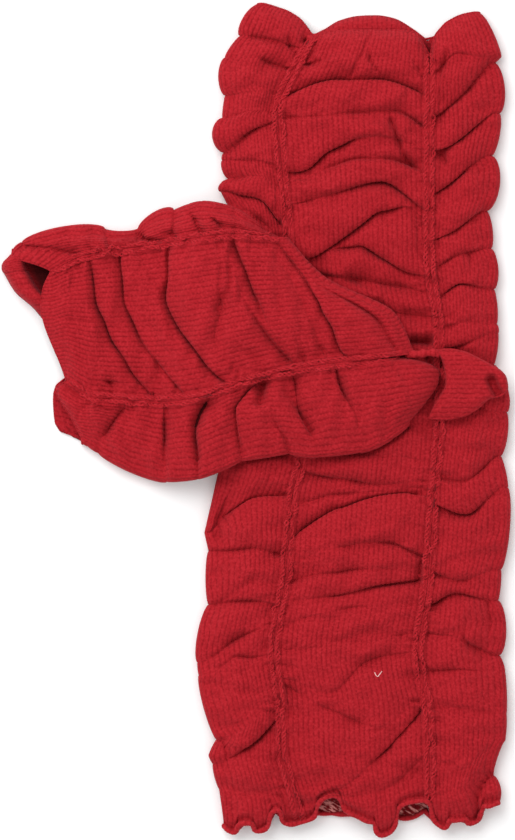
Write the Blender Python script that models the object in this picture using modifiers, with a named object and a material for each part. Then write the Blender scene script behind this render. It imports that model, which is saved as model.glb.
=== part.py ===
# Pair of baby leg warmers in red ribbed knit, laid flat with one crossed over the other.
#
# Each warmer is a tube of four ribbed panels: a front, two sides that wrap round the flattened
# edges, and a back.  Four lengthwise seams gather them, so the cloth stands in folds that run
# from seam to seam.  One end is a smooth turned cuff and the other a wavy lettuce edge.
# The lower warmer lies straight.  The crossed warmer starts on the surface at the left, climbs
# over the lower one, and turns under itself along a slanting fold at the right.
#
# The tables are in millimetres.  On the lower warmer "along" runs down from the pair's top edge
# and "across" runs right from its left edge.  On the crossed warmer it is the other way round.
# A fold's places say where it meets the seams and the lines between them, its sinks say how
# deep it is there (0 none, 1 down to the back panel), and its width is how far it spreads.

import bmesh
import bpy
import numpy as np
from collections import namedtuple

MM = 0.001
PAIR_WIDTH = 185.0
PAIR_LENGTH = 302.0

WALL = 1.2
SEAM_SLIT = 0.3
UNDER_SLIT = 0.5
CREASE_FLOOR = 3.6
SEAM_HEIGHT = 8.8
SEAM_FLAT = 0.5
SEAM_HOLD = 3.4
FRONT_CROWN = 11.8
FRILL_CROWN = 10.6
FULL_FRILL = 18.0
RIM_HEIGHT = 6.6
RIM_FLOOR = 3.4
CUFF_HEIGHT = 4.2
MOUTH_HEIGHT = 8.2
CLOSED_HEIGHT = 2.6
HEM_HEIGHT = 5.4
CURL_SWING = 1.6
END_SLOPE = 5.0
TURN_RADIUS = 1.9
TURN_UNDER = 2.5

# How round things are: a crown's rise from the seam, a rim's swell between two folds, and a
# rim's half ellipse, as a share of its own height and at most of the frill's width.
CROWN_POWER = 0.8
SWELL_POWER = 0.6
RIM_ROUND = 0.95
RIM_ROUND_LIMIT = 0.4

PRESSED_HEIGHT = 9.0
PRESS_BLEND = 0.25
PRESS_CLEARANCE = 0.3
PRESS_SLOPE = 1.1
CLIMB_START = 50.0
CLIMB_END = 77.0

KNIT_RED = (0.445, 0.016, 0.024, 1.0)
KNIT_ROUGHNESS = 0.9

ROWS_PER_FOLD = (0.0, 0.27, 0.62)
FRONT_COLUMNS = (0.0, 0.014, 0.065, 0.135, 0.24, 0.37, 0.5, 0.63, 0.76, 0.865, 0.935, 0.986, 1.0)
SIDE_COLUMNS = (0.0, 0.03, 0.14, 0.29, 0.46, 0.64, 0.83, 1.0)
NARROW_SIDE_COLUMNS = (0.0, 0.08, 0.24, 0.4, 0.55, 0.7, 0.85, 1.0)
RIM_ANGLES = (45.0, 90.0, 135.0, 180.0)

FrontFold = namedtuple(
    "FrontFold", "first second third fourth sink_first sink_second sink_third sink_fourth width")
SideFold = namedtuple(
    "SideFold", "seam middle rim sink_seam sink_middle sink_rim width outline swell")
SeamPoint = namedtuple("SeamPoint", "along across")
Curl = namedtuple("Curl", "across reach notch lift")

FRONT_STATIONS = (0.0, 1 / 3, 2 / 3, 1.0)
FRONT_PLACES = ("first", "second", "third", "fourth")
FRONT_SINKS = ("sink_first", "sink_second", "sink_third", "sink_fourth")
SIDE_STATIONS = (0.0, 0.5, 1.0)

LOWER_LEFT_SEAM = [
    SeamPoint(12.5, 112.5), SeamPoint(22.5, 107.5), SeamPoint(40.5, 100.0),
    SeamPoint(54.5, 101.0), SeamPoint(84.0, 103.5), SeamPoint(137.0, 106.5),
    SeamPoint(165.5, 108.0), SeamPoint(180.0, 105.0), SeamPoint(205.5, 103.0),
    SeamPoint(235.0, 98.5), SeamPoint(255.5, 101.0), SeamPoint(267.0, 101.0),
    SeamPoint(293.0, 108.0)]
LOWER_RIGHT_SEAM = [
    SeamPoint(12.5, 155.0), SeamPoint(53.0, 154.5), SeamPoint(86.0, 154.5),
    SeamPoint(101.0, 155.5), SeamPoint(115.5, 158.0), SeamPoint(144.0, 158.5),
    SeamPoint(180.0, 156.0), SeamPoint(209.0, 154.0), SeamPoint(236.0, 150.5),
    SeamPoint(257.0, 154.0), SeamPoint(290.0, 155.0)]
LOWER_BACK_SEAMS = (104.0, 154.0)
LOWER_BACK_CUFF = (11.0, 9.0, 8.5, 11.0, 14.0)
LOWER_BACK_HEM = (293.0, 295.0, 296.0, 295.0, 293.0)
LOWER_BACK_ROWS = 12

LOWER_FRONT_FOLDS = [
    FrontFold(12.5, 6.0, 6.5, 12.5, 0.0, 0.0, 0.0, 0.0, 2.5),
    FrontFold(23.0, 22.0, 21.5, 24.0, 0.55, 0.15, 0.1, 0.35, 2.2),
    FrontFold(35.0, 29.0, 29.0, 35.0, 0.85, 0.8, 0.85, 1.0, 2.8),
    FrontFold(42.5, 39.0, 36.0, 45.5, 0.5, 0.35, 0.45, 0.95, 2.2),
    FrontFold(61.5, 53.5, 48.0, 60.5, 0.9, 0.95, 0.5, 0.95, 3.0),
    FrontFold(64.5, 58.0, 57.0, 64.0, 0.2, 0.35, 0.45, 0.3, 2.5),
    FrontFold(74.0, 70.0, 65.5, 77.0, 0.4, 0.4, 0.8, 0.8, 2.5),
    FrontFold(93.0, 86.5, 75.0, 81.5, 0.7, 1.0, 0.95, 0.2, 3.0),
    FrontFold(96.5, 91.5, 93.0, 99.5, 0.2, 0.5, 1.0, 0.8, 2.8),
    FrontFold(99.5, 100.0, 102.0, 106.5, 0.3, 0.8, 0.9, 0.5, 4.0),
    FrontFold(106.5, 109.5, 112.5, 114.5, 0.3, 0.4, 0.5, 0.4, 4.0),
    FrontFold(119.0, 120.5, 123.0, 123.5, 0.3, 0.3, 0.6, 0.9, 3.0),
    FrontFold(133.0, 135.0, 137.0, 138.5, 0.4, 0.4, 0.4, 0.4, 3.0),
    FrontFold(151.0, 150.5, 153.0, 155.0, 0.4, 0.4, 0.4, 0.4, 3.0),
    FrontFold(162.5, 162.0, 164.0, 166.5, 0.3, 0.3, 0.3, 0.3, 3.0),
    FrontFold(170.5, 172.5, 174.5, 173.0, 0.6, 0.7, 0.4, 0.1, 2.5),
    FrontFold(181.5, 178.0, 177.0, 175.5, 0.5, 0.5, 0.1, 0.0, 2.2),
    FrontFold(195.0, 184.0, 179.0, 178.0, 0.9, 1.0, 1.0, 0.9, 2.8),
    FrontFold(202.5, 197.5, 195.0, 201.5, 0.0, 0.1, 0.5, 1.0, 2.2),
    FrontFold(210.0, 206.0, 205.0, 206.5, 0.6, 0.6, 0.2, 0.1, 2.4),
    FrontFold(216.5, 215.0, 211.0, 208.5, 0.1, 0.4, 0.85, 1.0, 2.4),
    FrontFold(226.0, 220.5, 218.0, 217.5, 0.35, 0.3, 0.3, 0.25, 4.0),
    FrontFold(234.5, 232.5, 230.5, 227.5, 0.15, 0.15, 0.3, 0.45, 3.0),
    FrontFold(242.0, 249.5, 237.0, 234.5, 0.1, 0.5, 0.8, 0.3, 3.0),
    FrontFold(245.5, 255.5, 262.0, 248.5, 0.7, 0.8, 0.4, 0.1, 5.0),
    FrontFold(283.0, 284.0, 272.0, 253.0, 0.2, 0.5, 1.0, 1.0, 3.5),
    FrontFold(288.0, 287.5, 284.5, 271.0, 0.35, 0.2, 0.35, 0.4, 3.5),
    FrontFold(294.5, 294.5, 294.5, 294.5, 0.0, 0.0, 0.0, 0.0, 2.5)]

LOWER_RIGHT_FOLDS = [
    SideFold(12.5, 5.0, 18.0, 0.0, 0.0, 0.0, 2.5, 179.5, 0.5),
    SideFold(27.0, 19.0, 20.5, 0.5, 0.4, 0.0, 2.0, 179.0, 0.0),
    SideFold(43.5, 35.5, 22.5, 0.9, 1.0, 0.9, 3.0, 178.5, 2.7),
    SideFold(55.0, 49.5, 40.5, 0.9, 1.0, 0.7, 3.0, 180.0, 1.5),
    SideFold(71.5, 63.5, 56.0, 0.8, 1.0, 0.5, 3.0, 177.5, 4.5),
    SideFold(87.5, 83.0, 76.0, 0.5, 0.6, 0.9, 2.5, 175.5, 1.3),
    SideFold(97.5, 92.0, 89.5, 0.5, 0.6, 0.7, 3.0, 177.0, 2.1),
    SideFold(108.5, 101.5, 104.0, 0.8, 0.9, 0.7, 3.0, 178.0, 0.8),
    SideFold(118.0, 116.0, 116.5, 0.4, 0.3, 0.1, 3.0, 179.0, 0.5),
    SideFold(126.5, 124.0, 120.0, 0.5, 0.6, 0.3, 2.5, 179.5, 0.6),
    SideFold(132.0, 132.0, 131.5, 0.4, 0.3, 0.6, 2.5, 178.0, 2.8),
    SideFold(144.0, 146.0, 148.5, 0.4, 0.4, 0.4, 3.0, 182.5, 1.5),
    SideFold(172.0, 173.5, 164.0, 0.5, 0.6, 0.9, 2.5, 180.5, 0.6),
    SideFold(182.0, 184.5, 175.5, 1.0, 1.0, 0.3, 3.0, 183.0, 2.0),
    SideFold(205.5, 209.0, 205.0, 0.7, 0.5, 0.5, 2.5, 180.5, 0.5),
    SideFold(218.0, 214.0, 216.0, 0.9, 0.6, 0.5, 2.5, 179.5, 2.7),
    SideFold(227.0, 229.5, 236.0, 0.6, 0.5, 0.7, 3.0, 180.0, 0.5),
    SideFold(240.5, 241.0, 242.0, 0.4, 0.7, 0.1, 3.0, 182.0, 0.4),
    SideFold(254.5, 254.5, 257.5, 0.4, 0.3, 0.0, 4.0, 182.5, 0.3),
    SideFold(273.5, 275.5, 267.0, 0.2, 0.1, 0.3, 3.0, 182.0, 0.5),
    SideFold(294.0, 296.0, 284.5, 0.0, 0.0, 0.0, 2.5, 178.5, 0.0)]

LOWER_LEFT_FOLDS = [
    SideFold(12.5, 1.0, 10.0, 0.0, 0.0, 0.0, 2.5, 87.0, 0.0),
    SideFold(18.0, 14.5, 12.5, 0.5, 0.6, 0.5, 2.5, 86.5, 0.0),
    SideFold(25.5, 21.5, 20.0, 0.6, 0.4, 0.0, 2.5, 81.0, 2.5),
    SideFold(34.5, 33.0, 34.0, 0.3, 0.1, 0.5, 2.5, 81.0, 0.3),
    SideFold(39.0, 40.0, 42.0, 0.2, 0.1, 0.4, 2.5, 80.0, 4.0),
    SideFold(43.5, 46.5, 55.0, 0.3, 0.9, 1.0, 3.0, 80.5, 0.5),
    SideFold(60.0, 58.0, 57.5, 0.2, 0.5, 0.6, 2.5, 80.0, 1.2),
    SideFold(68.5, 63.5, 64.0, 0.4, 0.3, 0.6, 3.0, 82.0, 2.0),
    SideFold(83.5, 71.0, 69.0, 1.0, 1.0, 0.7, 3.0, 79.5, 0.0),
    SideFold(88.5, 80.0, 74.0, 0.5, 0.3, 0.5, 3.0, 82.0, 0.5),
    SideFold(104.5, 102.5, 101.0, 0.4, 0.4, 0.4, 3.0, 80.0, 1.0),
    SideFold(122.5, 122.5, 122.5, 0.4, 0.4, 0.4, 3.0, 79.0, 1.0),
    SideFold(142.0, 142.0, 142.0, 0.4, 0.4, 0.4, 3.0, 78.5, 1.0),
    SideFold(162.0, 164.0, 167.5, 0.4, 0.3, 0.3, 3.0, 79.0, 0.0),
    SideFold(178.0, 179.5, 192.0, 0.8, 0.9, 1.0, 3.5, 73.5, 0.0),
    SideFold(199.5, 197.5, 198.5, 0.6, 0.7, 0.9, 2.5, 75.0, 1.1),
    SideFold(218.0, 216.0, 218.0, 0.5, 0.6, 0.9, 3.0, 75.0, 2.0),
    SideFold(223.5, 229.5, 238.5, 0.5, 0.8, 0.6, 3.5, 71.0, 0.2),
    SideFold(236.0, 236.5, 243.0, 0.4, 0.5, 0.3, 2.5, 71.5, 1.5),
    SideFold(258.0, 267.5, 268.5, 0.9, 1.0, 0.7, 3.5, 78.0, 1.8),
    SideFold(283.0, 284.5, 279.0, 0.5, 0.1, 0.2, 3.0, 77.5, 0.0),
    SideFold(294.0, 297.0, 295.5, 0.0, 0.0, 0.0, 2.5, 80.5, 0.0)]

LOWER_CURLS = [
    Curl(83.5, 301.0, 297.5, 0.8), Curl(92.0, 299.0, 292.5, 0.6),
    Curl(107.0, 297.5, 293.5, 1.0), Curl(119.0, 294.5, 293.0, 0.5),
    Curl(130.0, 295.5, 294.5, 0.7), Curl(139.5, 301.5, 290.5, 1.0),
    Curl(158.5, 298.0, 296.0, 0.9), Curl(170.5, 296.5, 291.5, 0.7),
    Curl(179.0, 289.0, 286.0, 0.8)]
LAST_NOTCH = 184.0

CROSSED_UPPER_SEAM = [
    SeamPoint(18.5, 97.5), SeamPoint(32.0, 91.5), SeamPoint(53.5, 88.5), SeamPoint(72.5, 85.5),
    SeamPoint(83.0, 84.5), SeamPoint(103.0, 85.5), SeamPoint(150.0, 84.5)]
CROSSED_LOWER_SEAM = [
    SeamPoint(24.0, 137.0), SeamPoint(34.0, 143.0), SeamPoint(59.0, 144.5),
    SeamPoint(71.0, 143.0), SeamPoint(86.5, 138.0), SeamPoint(97.0, 135.0),
    SeamPoint(115.0, 131.5), SeamPoint(133.5, 129.5), SeamPoint(155.0, 126.5)]
CROSSED_BACK_SEAMS = (98.0, 136.0)
CROSSED_BACK_CUFF = (2.5, 9.5, 17.5, 20.0, 20.5)
CROSSED_BACK_END = (97.0, 97.0, 97.0, 97.0, 97.0)
CROSSED_BACK_ROWS = 14

CROSSED_FRONT_FOLDS = [
    FrontFold(18.5, 14.5, 17.5, 24.0, 0.0, 0.0, 0.0, 0.0, 2.5),
    FrontFold(24.5, 24.0, 29.5, 37.0, 0.15, 0.1, 0.1, 0.3, 3.0),
    FrontFold(32.0, 35.0, 42.5, 56.0, 0.85, 0.8, 0.8, 0.9, 2.8),
    FrontFold(43.5, 45.0, 53.0, 67.5, 0.8, 0.8, 0.65, 0.5, 2.8),
    FrontFold(61.5, 60.0, 69.0, 82.5, 0.6, 0.9, 1.0, 1.0, 3.0),
    FrontFold(79.0, 79.5, 78.0, 90.0, 0.2, 0.6, 0.35, 0.0, 4.0),
    FrontFold(80.5, 85.5, 94.5, 107.0, 0.0, 0.1, 0.8, 0.9, 2.5),
    FrontFold(83.0, 90.5, 97.0, 108.5, 0.9, 1.0, 0.25, 0.0, 2.8),
    FrontFold(87.0, 97.0, 104.5, 111.5, 0.0, 0.1, 0.2, 0.6, 2.5),
    FrontFold(94.0, 105.5, 112.0, 118.5, 0.2, 0.4, 0.35, 0.6, 4.0),
    FrontFold(98.0, 110.0, 118.5, 125.5, 0.4, 0.8, 1.0, 1.0, 3.0),
    FrontFold(99.5, 112.5, 133.0, 143.0, 0.0, 0.1, 0.4, 0.6, 2.2),
    FrontFold(101.5, 115.5, 139.0, 147.0, 0.0, 0.0, 0.0, 0.0, 2.5)]

CROSSED_UPPER_FOLDS = [
    SideFold(18.5, 8.0, 1.0, 0.0, 0.0, 0.0, 2.5, 92.5, 0.5),
    SideFold(28.5, 18.0, 7.5, 0.5, 0.7, 0.2, 2.5, 87.0, 3.2),
    SideFold(40.5, 39.0, 37.5, 0.2, 0.3, 0.2, 2.5, 82.0, -1.0),
    SideFold(54.5, 52.5, 49.5, 0.5, 0.6, 0.7, 3.0, 82.0, 3.0),
    SideFold(64.0, 62.0, 62.5, 0.4, 0.5, 0.5, 2.5, 75.5, 0.2),
    SideFold(73.0, 71.0, 67.5, 0.7, 0.7, 0.3, 2.5, 73.5, 0.3),
    SideFold(81.5, 78.0, 72.5, 0.4, 0.6, 0.2, 2.5, 72.5, 0.8),
    SideFold(88.5, 87.0, 85.0, 0.4, 0.5, 0.6, 2.5, 75.0, 0.6),
    SideFold(100.5, 98.0, 94.5, 0.0, 0.0, 0.0, 2.5, 81.5, 0.0)]

CROSSED_LOWER_FOLDS = [
    SideFold(24.0, 21.5, 29.5, 0.0, 0.0, 0.0, 2.5, 159.5, 0.0),
    SideFold(35.0, 28.0, 31.5, 0.5, 0.4, 0.2, 2.5, 161.0, 0.2),
    SideFold(47.0, 40.5, 35.5, 0.5, 0.8, 0.3, 2.5, 163.0, 1.3),
    SideFold(59.0, 59.0, 60.0, 0.5, 0.9, 0.2, 2.5, 173.5, 0.4),
    SideFold(75.0, 70.5, 71.5, 0.8, 1.0, 0.9, 3.0, 172.5, 0.8),
    SideFold(94.5, 85.0, 87.0, 0.9, 0.9, 1.0, 2.8, 166.0, 0.3),
    SideFold(96.5, 96.0, 98.0, 0.3, 0.4, 0.3, 2.5, 165.0, 0.3),
    SideFold(105.0, 107.0, 115.0, 0.8, 0.9, 0.3, 4.0, 164.0, 0.3),
    SideFold(120.5, 124.0, 129.5, 0.6, 0.7, 0.15, 2.5, 163.0, 1.2),
    SideFold(144.0, 150.0, 142.5, 0.2, 0.1, 0.1, 3.0, 157.0, 0.8),
    SideFold(154.5, 158.5, 150.0, 0.0, 0.0, 0.0, 2.5, 152.5, 0.0)]

# The slanting fold where the crossed warmer turns under, as places across for the last fold.
CROSSED_SLANT = (86.0, 99.0, 112.5, 126.5)
CROSSED_SLANT_LEAN = 0.74

PadPoint = namedtuple("PadPoint", "along across")
FOLDED_END_OUTLINE = [
    PadPoint(97.6, 95.0), PadPoint(102.0, 96.5), PadPoint(112.0, 105.5), PadPoint(124.0, 112.5),
    PadPoint(133.0, 116.5), PadPoint(137.5, 121.5), PadPoint(136.0, 125.5), PadPoint(126.0, 128.0),
    PadPoint(112.0, 129.5), PadPoint(99.0, 131.0), PadPoint(97.6, 122.0), PadPoint(97.6, 108.0)]
HEM_FLAP_OUTLINE = [
    PadPoint(157.0, 126.6), PadPoint(166.5, 126.4), PadPoint(175.0, 130.4), PadPoint(181.4, 133.6),
    PadPoint(181.8, 138.0), PadPoint(176.5, 143.0), PadPoint(170.0, 147.0), PadPoint(163.0, 149.8),
    PadPoint(157.2, 148.6), PadPoint(158.8, 143.5), PadPoint(159.8, 137.0), PadPoint(158.6, 131.0)]
HEM_FLAP_HEIGHT = 4.8

# A pad's section from the middle of its underside to the middle of its top: how far in towards
# the middle, and how high.  The groove part way up parts its two folded layers.
PadRing = namedtuple("PadRing", "inward height")
PAD_RINGS = [
    PadRing(1.0, 0.0), PadRing(0.45, 0.0), PadRing(0.06, 0.0), PadRing(0.0, 0.16), PadRing(0.0, 0.36),
    PadRing(0.08, 0.46), PadRing(0.02, 0.56), PadRing(0.05, 0.8), PadRing(0.2, 0.96), PadRing(0.4, 1.0),
    PadRing(0.6, 1.0), PadRing(0.8, 1.0), PadRing(1.0, 1.0)]
PAD_SEGMENTS = 28
PAD_CLEARANCE = 0.9
PAD_REACH = 3.0


def remove_everything():
    for item in list(bpy.data.objects):
        bpy.data.objects.remove(item, do_unlink=True)


def smooth(stations, values, at):
    # Cubic through the stations that never swings past them: each slope is the harmonic mean
    # of the chords beside it, or level where they point opposite ways.
    x = np.asarray(stations, float)
    y = np.asarray(values, float)
    step = np.diff(x)
    chord = np.diff(y) / step
    slope = np.zeros_like(y)
    slope[0] = chord[0]
    slope[-1] = chord[-1]
    level = chord[:-1] * chord[1:] <= 0
    both = np.where(level, 1.0, chord[:-1] + chord[1:])
    slope[1:-1] = np.where(level, 0.0, 2 * chord[:-1] * chord[1:] / both)
    at = np.clip(at, x[0], x[-1])
    i = np.clip(np.searchsorted(x, at, side="right") - 1, 0, len(step) - 1)
    t = (at - x[i]) / step[i]
    rise = y[i + 1] - y[i]
    start = slope[i] * step[i]
    end = slope[i + 1] * step[i]
    return y[i] + t * (start + t * (3 * rise - 2 * start - end + t * (start + end - 2 * rise)))


def soft_lower(a, b, blend):
    # The lower of two heights, rounded where they cross.
    return -blend * np.log(np.exp(-a / blend) + np.exp(-b / blend))


def fold_lines(folds, columns, stations, u):
    # One row for each fold: its place or sink at every point's share u of the way across.
    return np.array([smooth(stations, [getattr(fold, name) for name in columns], u) for fold in folds])


def between_lines(lines, step):
    # The place at a whole and a fraction of the fold count, point by point.
    i = np.minimum(step.astype(int), len(lines) - 2)
    point = np.arange(len(step))
    return lines[i, point] + (lines[i + 1, point] - lines[i, point]) * (step - i)


def sunk_share(lines, sinks, folds, along):
    # Every fold is a cusp that fades away on both sides of its line.
    widths = np.array([fold.width for fold in folds])[:, None]
    return 1 - np.prod(1 - sinks * np.exp(-np.abs(along - lines) / widths), axis=0)


def seam_across(seam, along):
    return smooth([point.along for point in seam], [point.across for point in seam], along)


def end_share(along, first, last):
    # 0 at either end of a panel and nearly 1 once it is a few END_SLOPEs in.
    return (1 - np.exp(-(along - first) / END_SLOPE)) * (1 - np.exp(-(last - along) / END_SLOPE))


def crossed_top_line(along):
    # The crossed warmer's upper outline, and past its corner the slanting fold.
    outline = fold_outline(CROSSED_UPPER_FOLDS)
    turn = CROSSED_FRONT_FOLDS[-1]
    slant = smooth((turn.first, turn.second, turn.third, turn.fourth), CROSSED_SLANT, along)
    return np.where(along < turn.first, smooth(outline[0], outline[1], along), slant)


def crossed_bottom_line(along):
    outline = fold_outline(CROSSED_LOWER_FOLDS)
    return smooth(outline[0], outline[1], along)


def fold_outline(folds):
    return [fold.rim for fold in folds], [fold.outline for fold in folds]


def pressed_limit(across, along):
    # How high the lower warmer may stand: level under the crossed one, rising away from it.
    outside = np.maximum(crossed_top_line(across) - along, along - crossed_bottom_line(across))
    return PRESSED_HEIGHT + PRESS_SLOPE * np.maximum(outside, 0.0)


def lower_place(across, along, height):
    return np.stack([across - PAIR_WIDTH / 2, PAIR_LENGTH / 2 - along, height], axis=1) * MM


def crossed_base(along):
    # The height that the crossed warmer rests at: the surface, a climb, then the lower warmer.
    share = np.clip((along - CLIMB_START) / (CLIMB_END - CLIMB_START), 0.0, 1.0)
    return (PRESSED_HEIGHT + PRESS_CLEARANCE) * share * share * (3 - 2 * share)


def crossed_place(across, along, height):
    return np.stack(
        [along - PAIR_WIDTH / 2, PAIR_LENGTH / 2 - across, crossed_base(along) + height], axis=1) * MM


def curl_wave(across):
    # The lettuce edge: reach runs from curl to notch to curl, and lift swings with it.
    places = []
    reaches = []
    lifts = []
    for i, curl in enumerate(LOWER_CURLS):
        places.append(curl.across)
        reaches.append(curl.reach)
        lifts.append(-curl.lift)
        last = i + 1 == len(LOWER_CURLS)
        places.append(LAST_NOTCH if last else (curl.across + LOWER_CURLS[i + 1].across) / 2)
        reaches.append(curl.notch)
        lifts.append(curl.lift)
    return smooth(places, reaches, across), smooth(places, lifts, across)


def front_height(u, across, along, folds, span, ends, pressed):
    # A crown over the width, cut down to the crease floor along each fold line, held up by the
    # seams, and lowered towards both ends.
    lines = fold_lines(folds, FRONT_PLACES, FRONT_STATIONS, u)
    sinks = fold_lines(folds, FRONT_SINKS, FRONT_STATIONS, u)
    rise = np.sin(np.pi * np.clip(u, 0.0, 1.0)) ** CROWN_POWER
    crown = SEAM_HEIGHT + (FRONT_CROWN - SEAM_HEIGHT) * rise
    end = smooth((0.0, 1.0), ends, u)
    top = end + (crown - end) * end_share(along, lines[0], lines[-1])
    if pressed:
        top = soft_lower(top, pressed_limit(across, along), PRESS_BLEND)
    sunk = seam_hold(span * np.minimum(u, 1 - u)) * sunk_share(lines, sinks, folds, along)
    return CREASE_FLOOR + (top - CREASE_FLOOR) * (1 - sunk)


def seam_hold(away):
    # A seam keeps folds out of its own edge and lets them in over a few SEAM_HOLDs.
    return 1 - np.exp(-(np.maximum(away - SEAM_FLAT, 0.0) / SEAM_HOLD) ** 2)


def front_cloth(u, step, folds, seams, ends, pressed):
    # Across from seam to seam and along from fold to fold.
    along = between_lines(fold_lines(folds, FRONT_PLACES, FRONT_STATIONS, u), step)
    low = seam_across(seams[0], along) + SEAM_SLIT / 2
    high = seam_across(seams[1], along) - SEAM_SLIT / 2
    across = low + (high - low) * u
    return across, along, front_height(u, across, along, folds, high - low, ends, pressed)


def turn_under(u, across, along, height, angle, tucked):
    # The far edge of the crossed front rolls down in a half ellipse and runs back underneath,
    # straight on at the seams and square to the slanting fold between them.
    radius = height / 2
    out = TURN_RADIUS * np.sin(angle) - TURN_UNDER * tucked
    lean = CROSSED_SLANT_LEAN * np.sqrt(np.sin(np.pi * np.clip(u, 0.0, 1.0)))
    return across - lean * out, along + np.sqrt(1 - lean ** 2) * out, radius * (1 + np.cos(angle))


def side_cloth(column, step, columns, folds, seam, back_seam, cuff_back, ends, pressed):
    # The wall runs out from the seam over the frill, round the rim in a half ellipse, and back
    # under to the underside seam, which lies flat.
    tops = len(columns)
    q = np.array(columns + (1.0,) * (len(RIM_ANGLES) + 1))[column]
    angle = np.radians(np.array((0.0,) * tops + RIM_ANGLES + (180.0,)))[column]
    under = column == tops + len(RIM_ANGLES)
    lines = fold_lines(folds, ("seam", "middle", "rim"), SIDE_STATIONS, q)
    sinks = fold_lines(folds, ("sink_seam", "sink_middle", "sink_rim"), SIDE_STATIONS, q)
    along = between_lines(lines, step)

    i = np.minimum(step.astype(int), len(folds) - 2)
    f = step - i
    outlines = np.array([fold.outline for fold in folds])
    swells = np.array([fold.swell for fold in folds])
    outward = np.sign(outlines[0] - seam[0].across)
    swell = swells[i] * (4 * f * (1 - f)) ** SWELL_POWER
    rim = outlines[i] + (outlines[i + 1] - outlines[i]) * f + outward * swell

    seam_places = np.array([fold.seam for fold in folds])
    start = seam_across(seam, seam_places[i] + (seam_places[i + 1] - seam_places[i]) * f)
    start = start + outward * SEAM_SLIT / 2
    span = np.abs(rim - start)
    puff = (FRILL_CROWN - SEAM_HEIGHT) * np.minimum(span / FULL_FRILL, 1.0)
    crown = SEAM_HEIGHT + puff * np.sin(np.pi * np.minimum(q, 0.5)) ** CROWN_POWER
    outer = RIM_HEIGHT + (SEAM_HEIGHT + puff - RIM_HEIGHT) * np.cos(np.pi * (q - 0.5))
    crown = np.where(q > 0.5, outer, crown)
    floor = CREASE_FLOOR + (RIM_FLOOR - CREASE_FLOOR) * q
    first_end = smooth((0.0, 1.0), ends[:2], q)
    near_first = step < len(folds) / 2
    top = np.where(near_first, first_end, ends[2])
    top = top + (crown - top) * end_share(along, lines[0], lines[-1])
    if pressed:
        top = soft_lower(top, pressed_limit(start + (rim - start) * q, along), PRESS_BLEND)
    floor = np.minimum(floor, top)
    height = floor + (top - floor) * (1 - seam_hold(span * q) * sunk_share(lines, sinks, folds, along))

    radius = height / 2
    inset = np.minimum(RIM_ROUND * radius, RIM_ROUND_LIMIT * span)
    across = start + (rim - outward * inset - start) * q + outward * inset * np.sin(angle)
    height = np.where(q == 1.0, radius * (1 + np.cos(angle)), height)

    share = step / (len(folds) - 1)
    under_along = along + (cuff_back - lines[0]) * (1 - share)
    across = np.where(under, back_seam + outward * UNDER_SLIT / 2, across)
    along = np.where(under, under_along, along)
    return across, along, np.where(under, 0.0, height)


def add_lettuce(across, along, height, share):
    # The last stretch of cloth reaches out to the curls and swings up and down with them.
    reach, lift = curl_wave(across)
    ruffle = share ** 2
    rise = HEM_HEIGHT - CUFF_HEIGHT + CURL_SWING * lift
    raised = np.where(height > WALL, height + rise * ruffle, height)
    return across, along + (reach - along) * ruffle, raised


def grid_mesh(name, columns, rows):
    # A flat grid one unit wide, with each point's column and row read back from its place.
    mesh = bpy.data.meshes.new(name)
    grid = bmesh.new()
    bmesh.ops.create_grid(grid, x_segments=columns, y_segments=rows, size=0.5)
    grid.to_mesh(mesh)
    grid.free()
    flat = np.empty(len(mesh.vertices) * 3)
    mesh.vertices.foreach_get("co", flat)
    flat = flat.reshape(-1, 3) + 0.5
    return mesh, np.rint(flat[:, 0] * columns).astype(int), np.rint(flat[:, 1] * rows).astype(int)


def finish_panel(name, mesh, points, flip):
    mesh.vertices.foreach_set("co", points.ravel())
    if flip:
        mesh.flip_normals()
    mesh.update()
    mesh.shade_smooth()
    panel = bpy.data.objects.new(name, mesh)
    collection().objects.link(panel)
    mesh.materials.append(knit_material(name))
    return panel


def add_wall(panel):
    wall = panel.modifiers.new("cloth wall", "SOLIDIFY")
    wall.thickness = WALL * MM
    wall.offset = -1.0


def collection():
    name = "baby_leg_warmers"
    found = bpy.data.collections.get(name)
    if found is None:
        found = bpy.data.collections.new(name)
        bpy.context.scene.collection.children.link(found)
    return found


def knit_material(name):
    material = bpy.data.materials.new(name + "_knit")
    material.use_nodes = True
    shader = material.node_tree.nodes["Principled BSDF"]
    shader.inputs["Base Color"].default_value = KNIT_RED
    shader.inputs["Roughness"].default_value = KNIT_ROUGHNESS
    shader.inputs["Metallic"].default_value = 0.0
    return material


def fold_steps(folds):
    # Places of the grid's rows, counted in folds.
    steps = [i + share for i in range(len(folds) - 1) for share in ROWS_PER_FOLD]
    return np.array(steps + [len(folds) - 1.0])


def make_front(name, folds, seams, ends, place, flip, hem=False, pressed=False, turned=False):
    steps = fold_steps(folds)
    angles = np.zeros(len(steps))
    tucks = np.zeros(len(steps))
    if turned:
        steps = np.append(steps, [steps[-1]] * (len(RIM_ANGLES) + 1))
        angles = np.append(angles, np.radians(RIM_ANGLES + (180.0,)))
        tucks = np.append(tucks, [0.0] * len(RIM_ANGLES) + [1.0])
    mesh, column, row = grid_mesh(name, len(FRONT_COLUMNS) - 1, len(steps) - 1)
    u = np.array(FRONT_COLUMNS)[column]
    across, along, height = front_cloth(u, steps[row], folds, seams, ends, pressed)
    if hem:
        share = np.clip(steps[row] - (len(folds) - 2), 0.0, 1.0)
        across, along, height = add_lettuce(across, along, height, share)
    if turned:
        rolled = turn_under(u, across, along, height, angles[row], tucks[row])
        at_edge = steps[row] == steps[-1]
        across, along, height = (
            np.where(at_edge, new, old) for new, old in zip(rolled, (across, along, height)))
    add_wall(finish_panel(name, mesh, place(across, along, height), flip))


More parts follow.
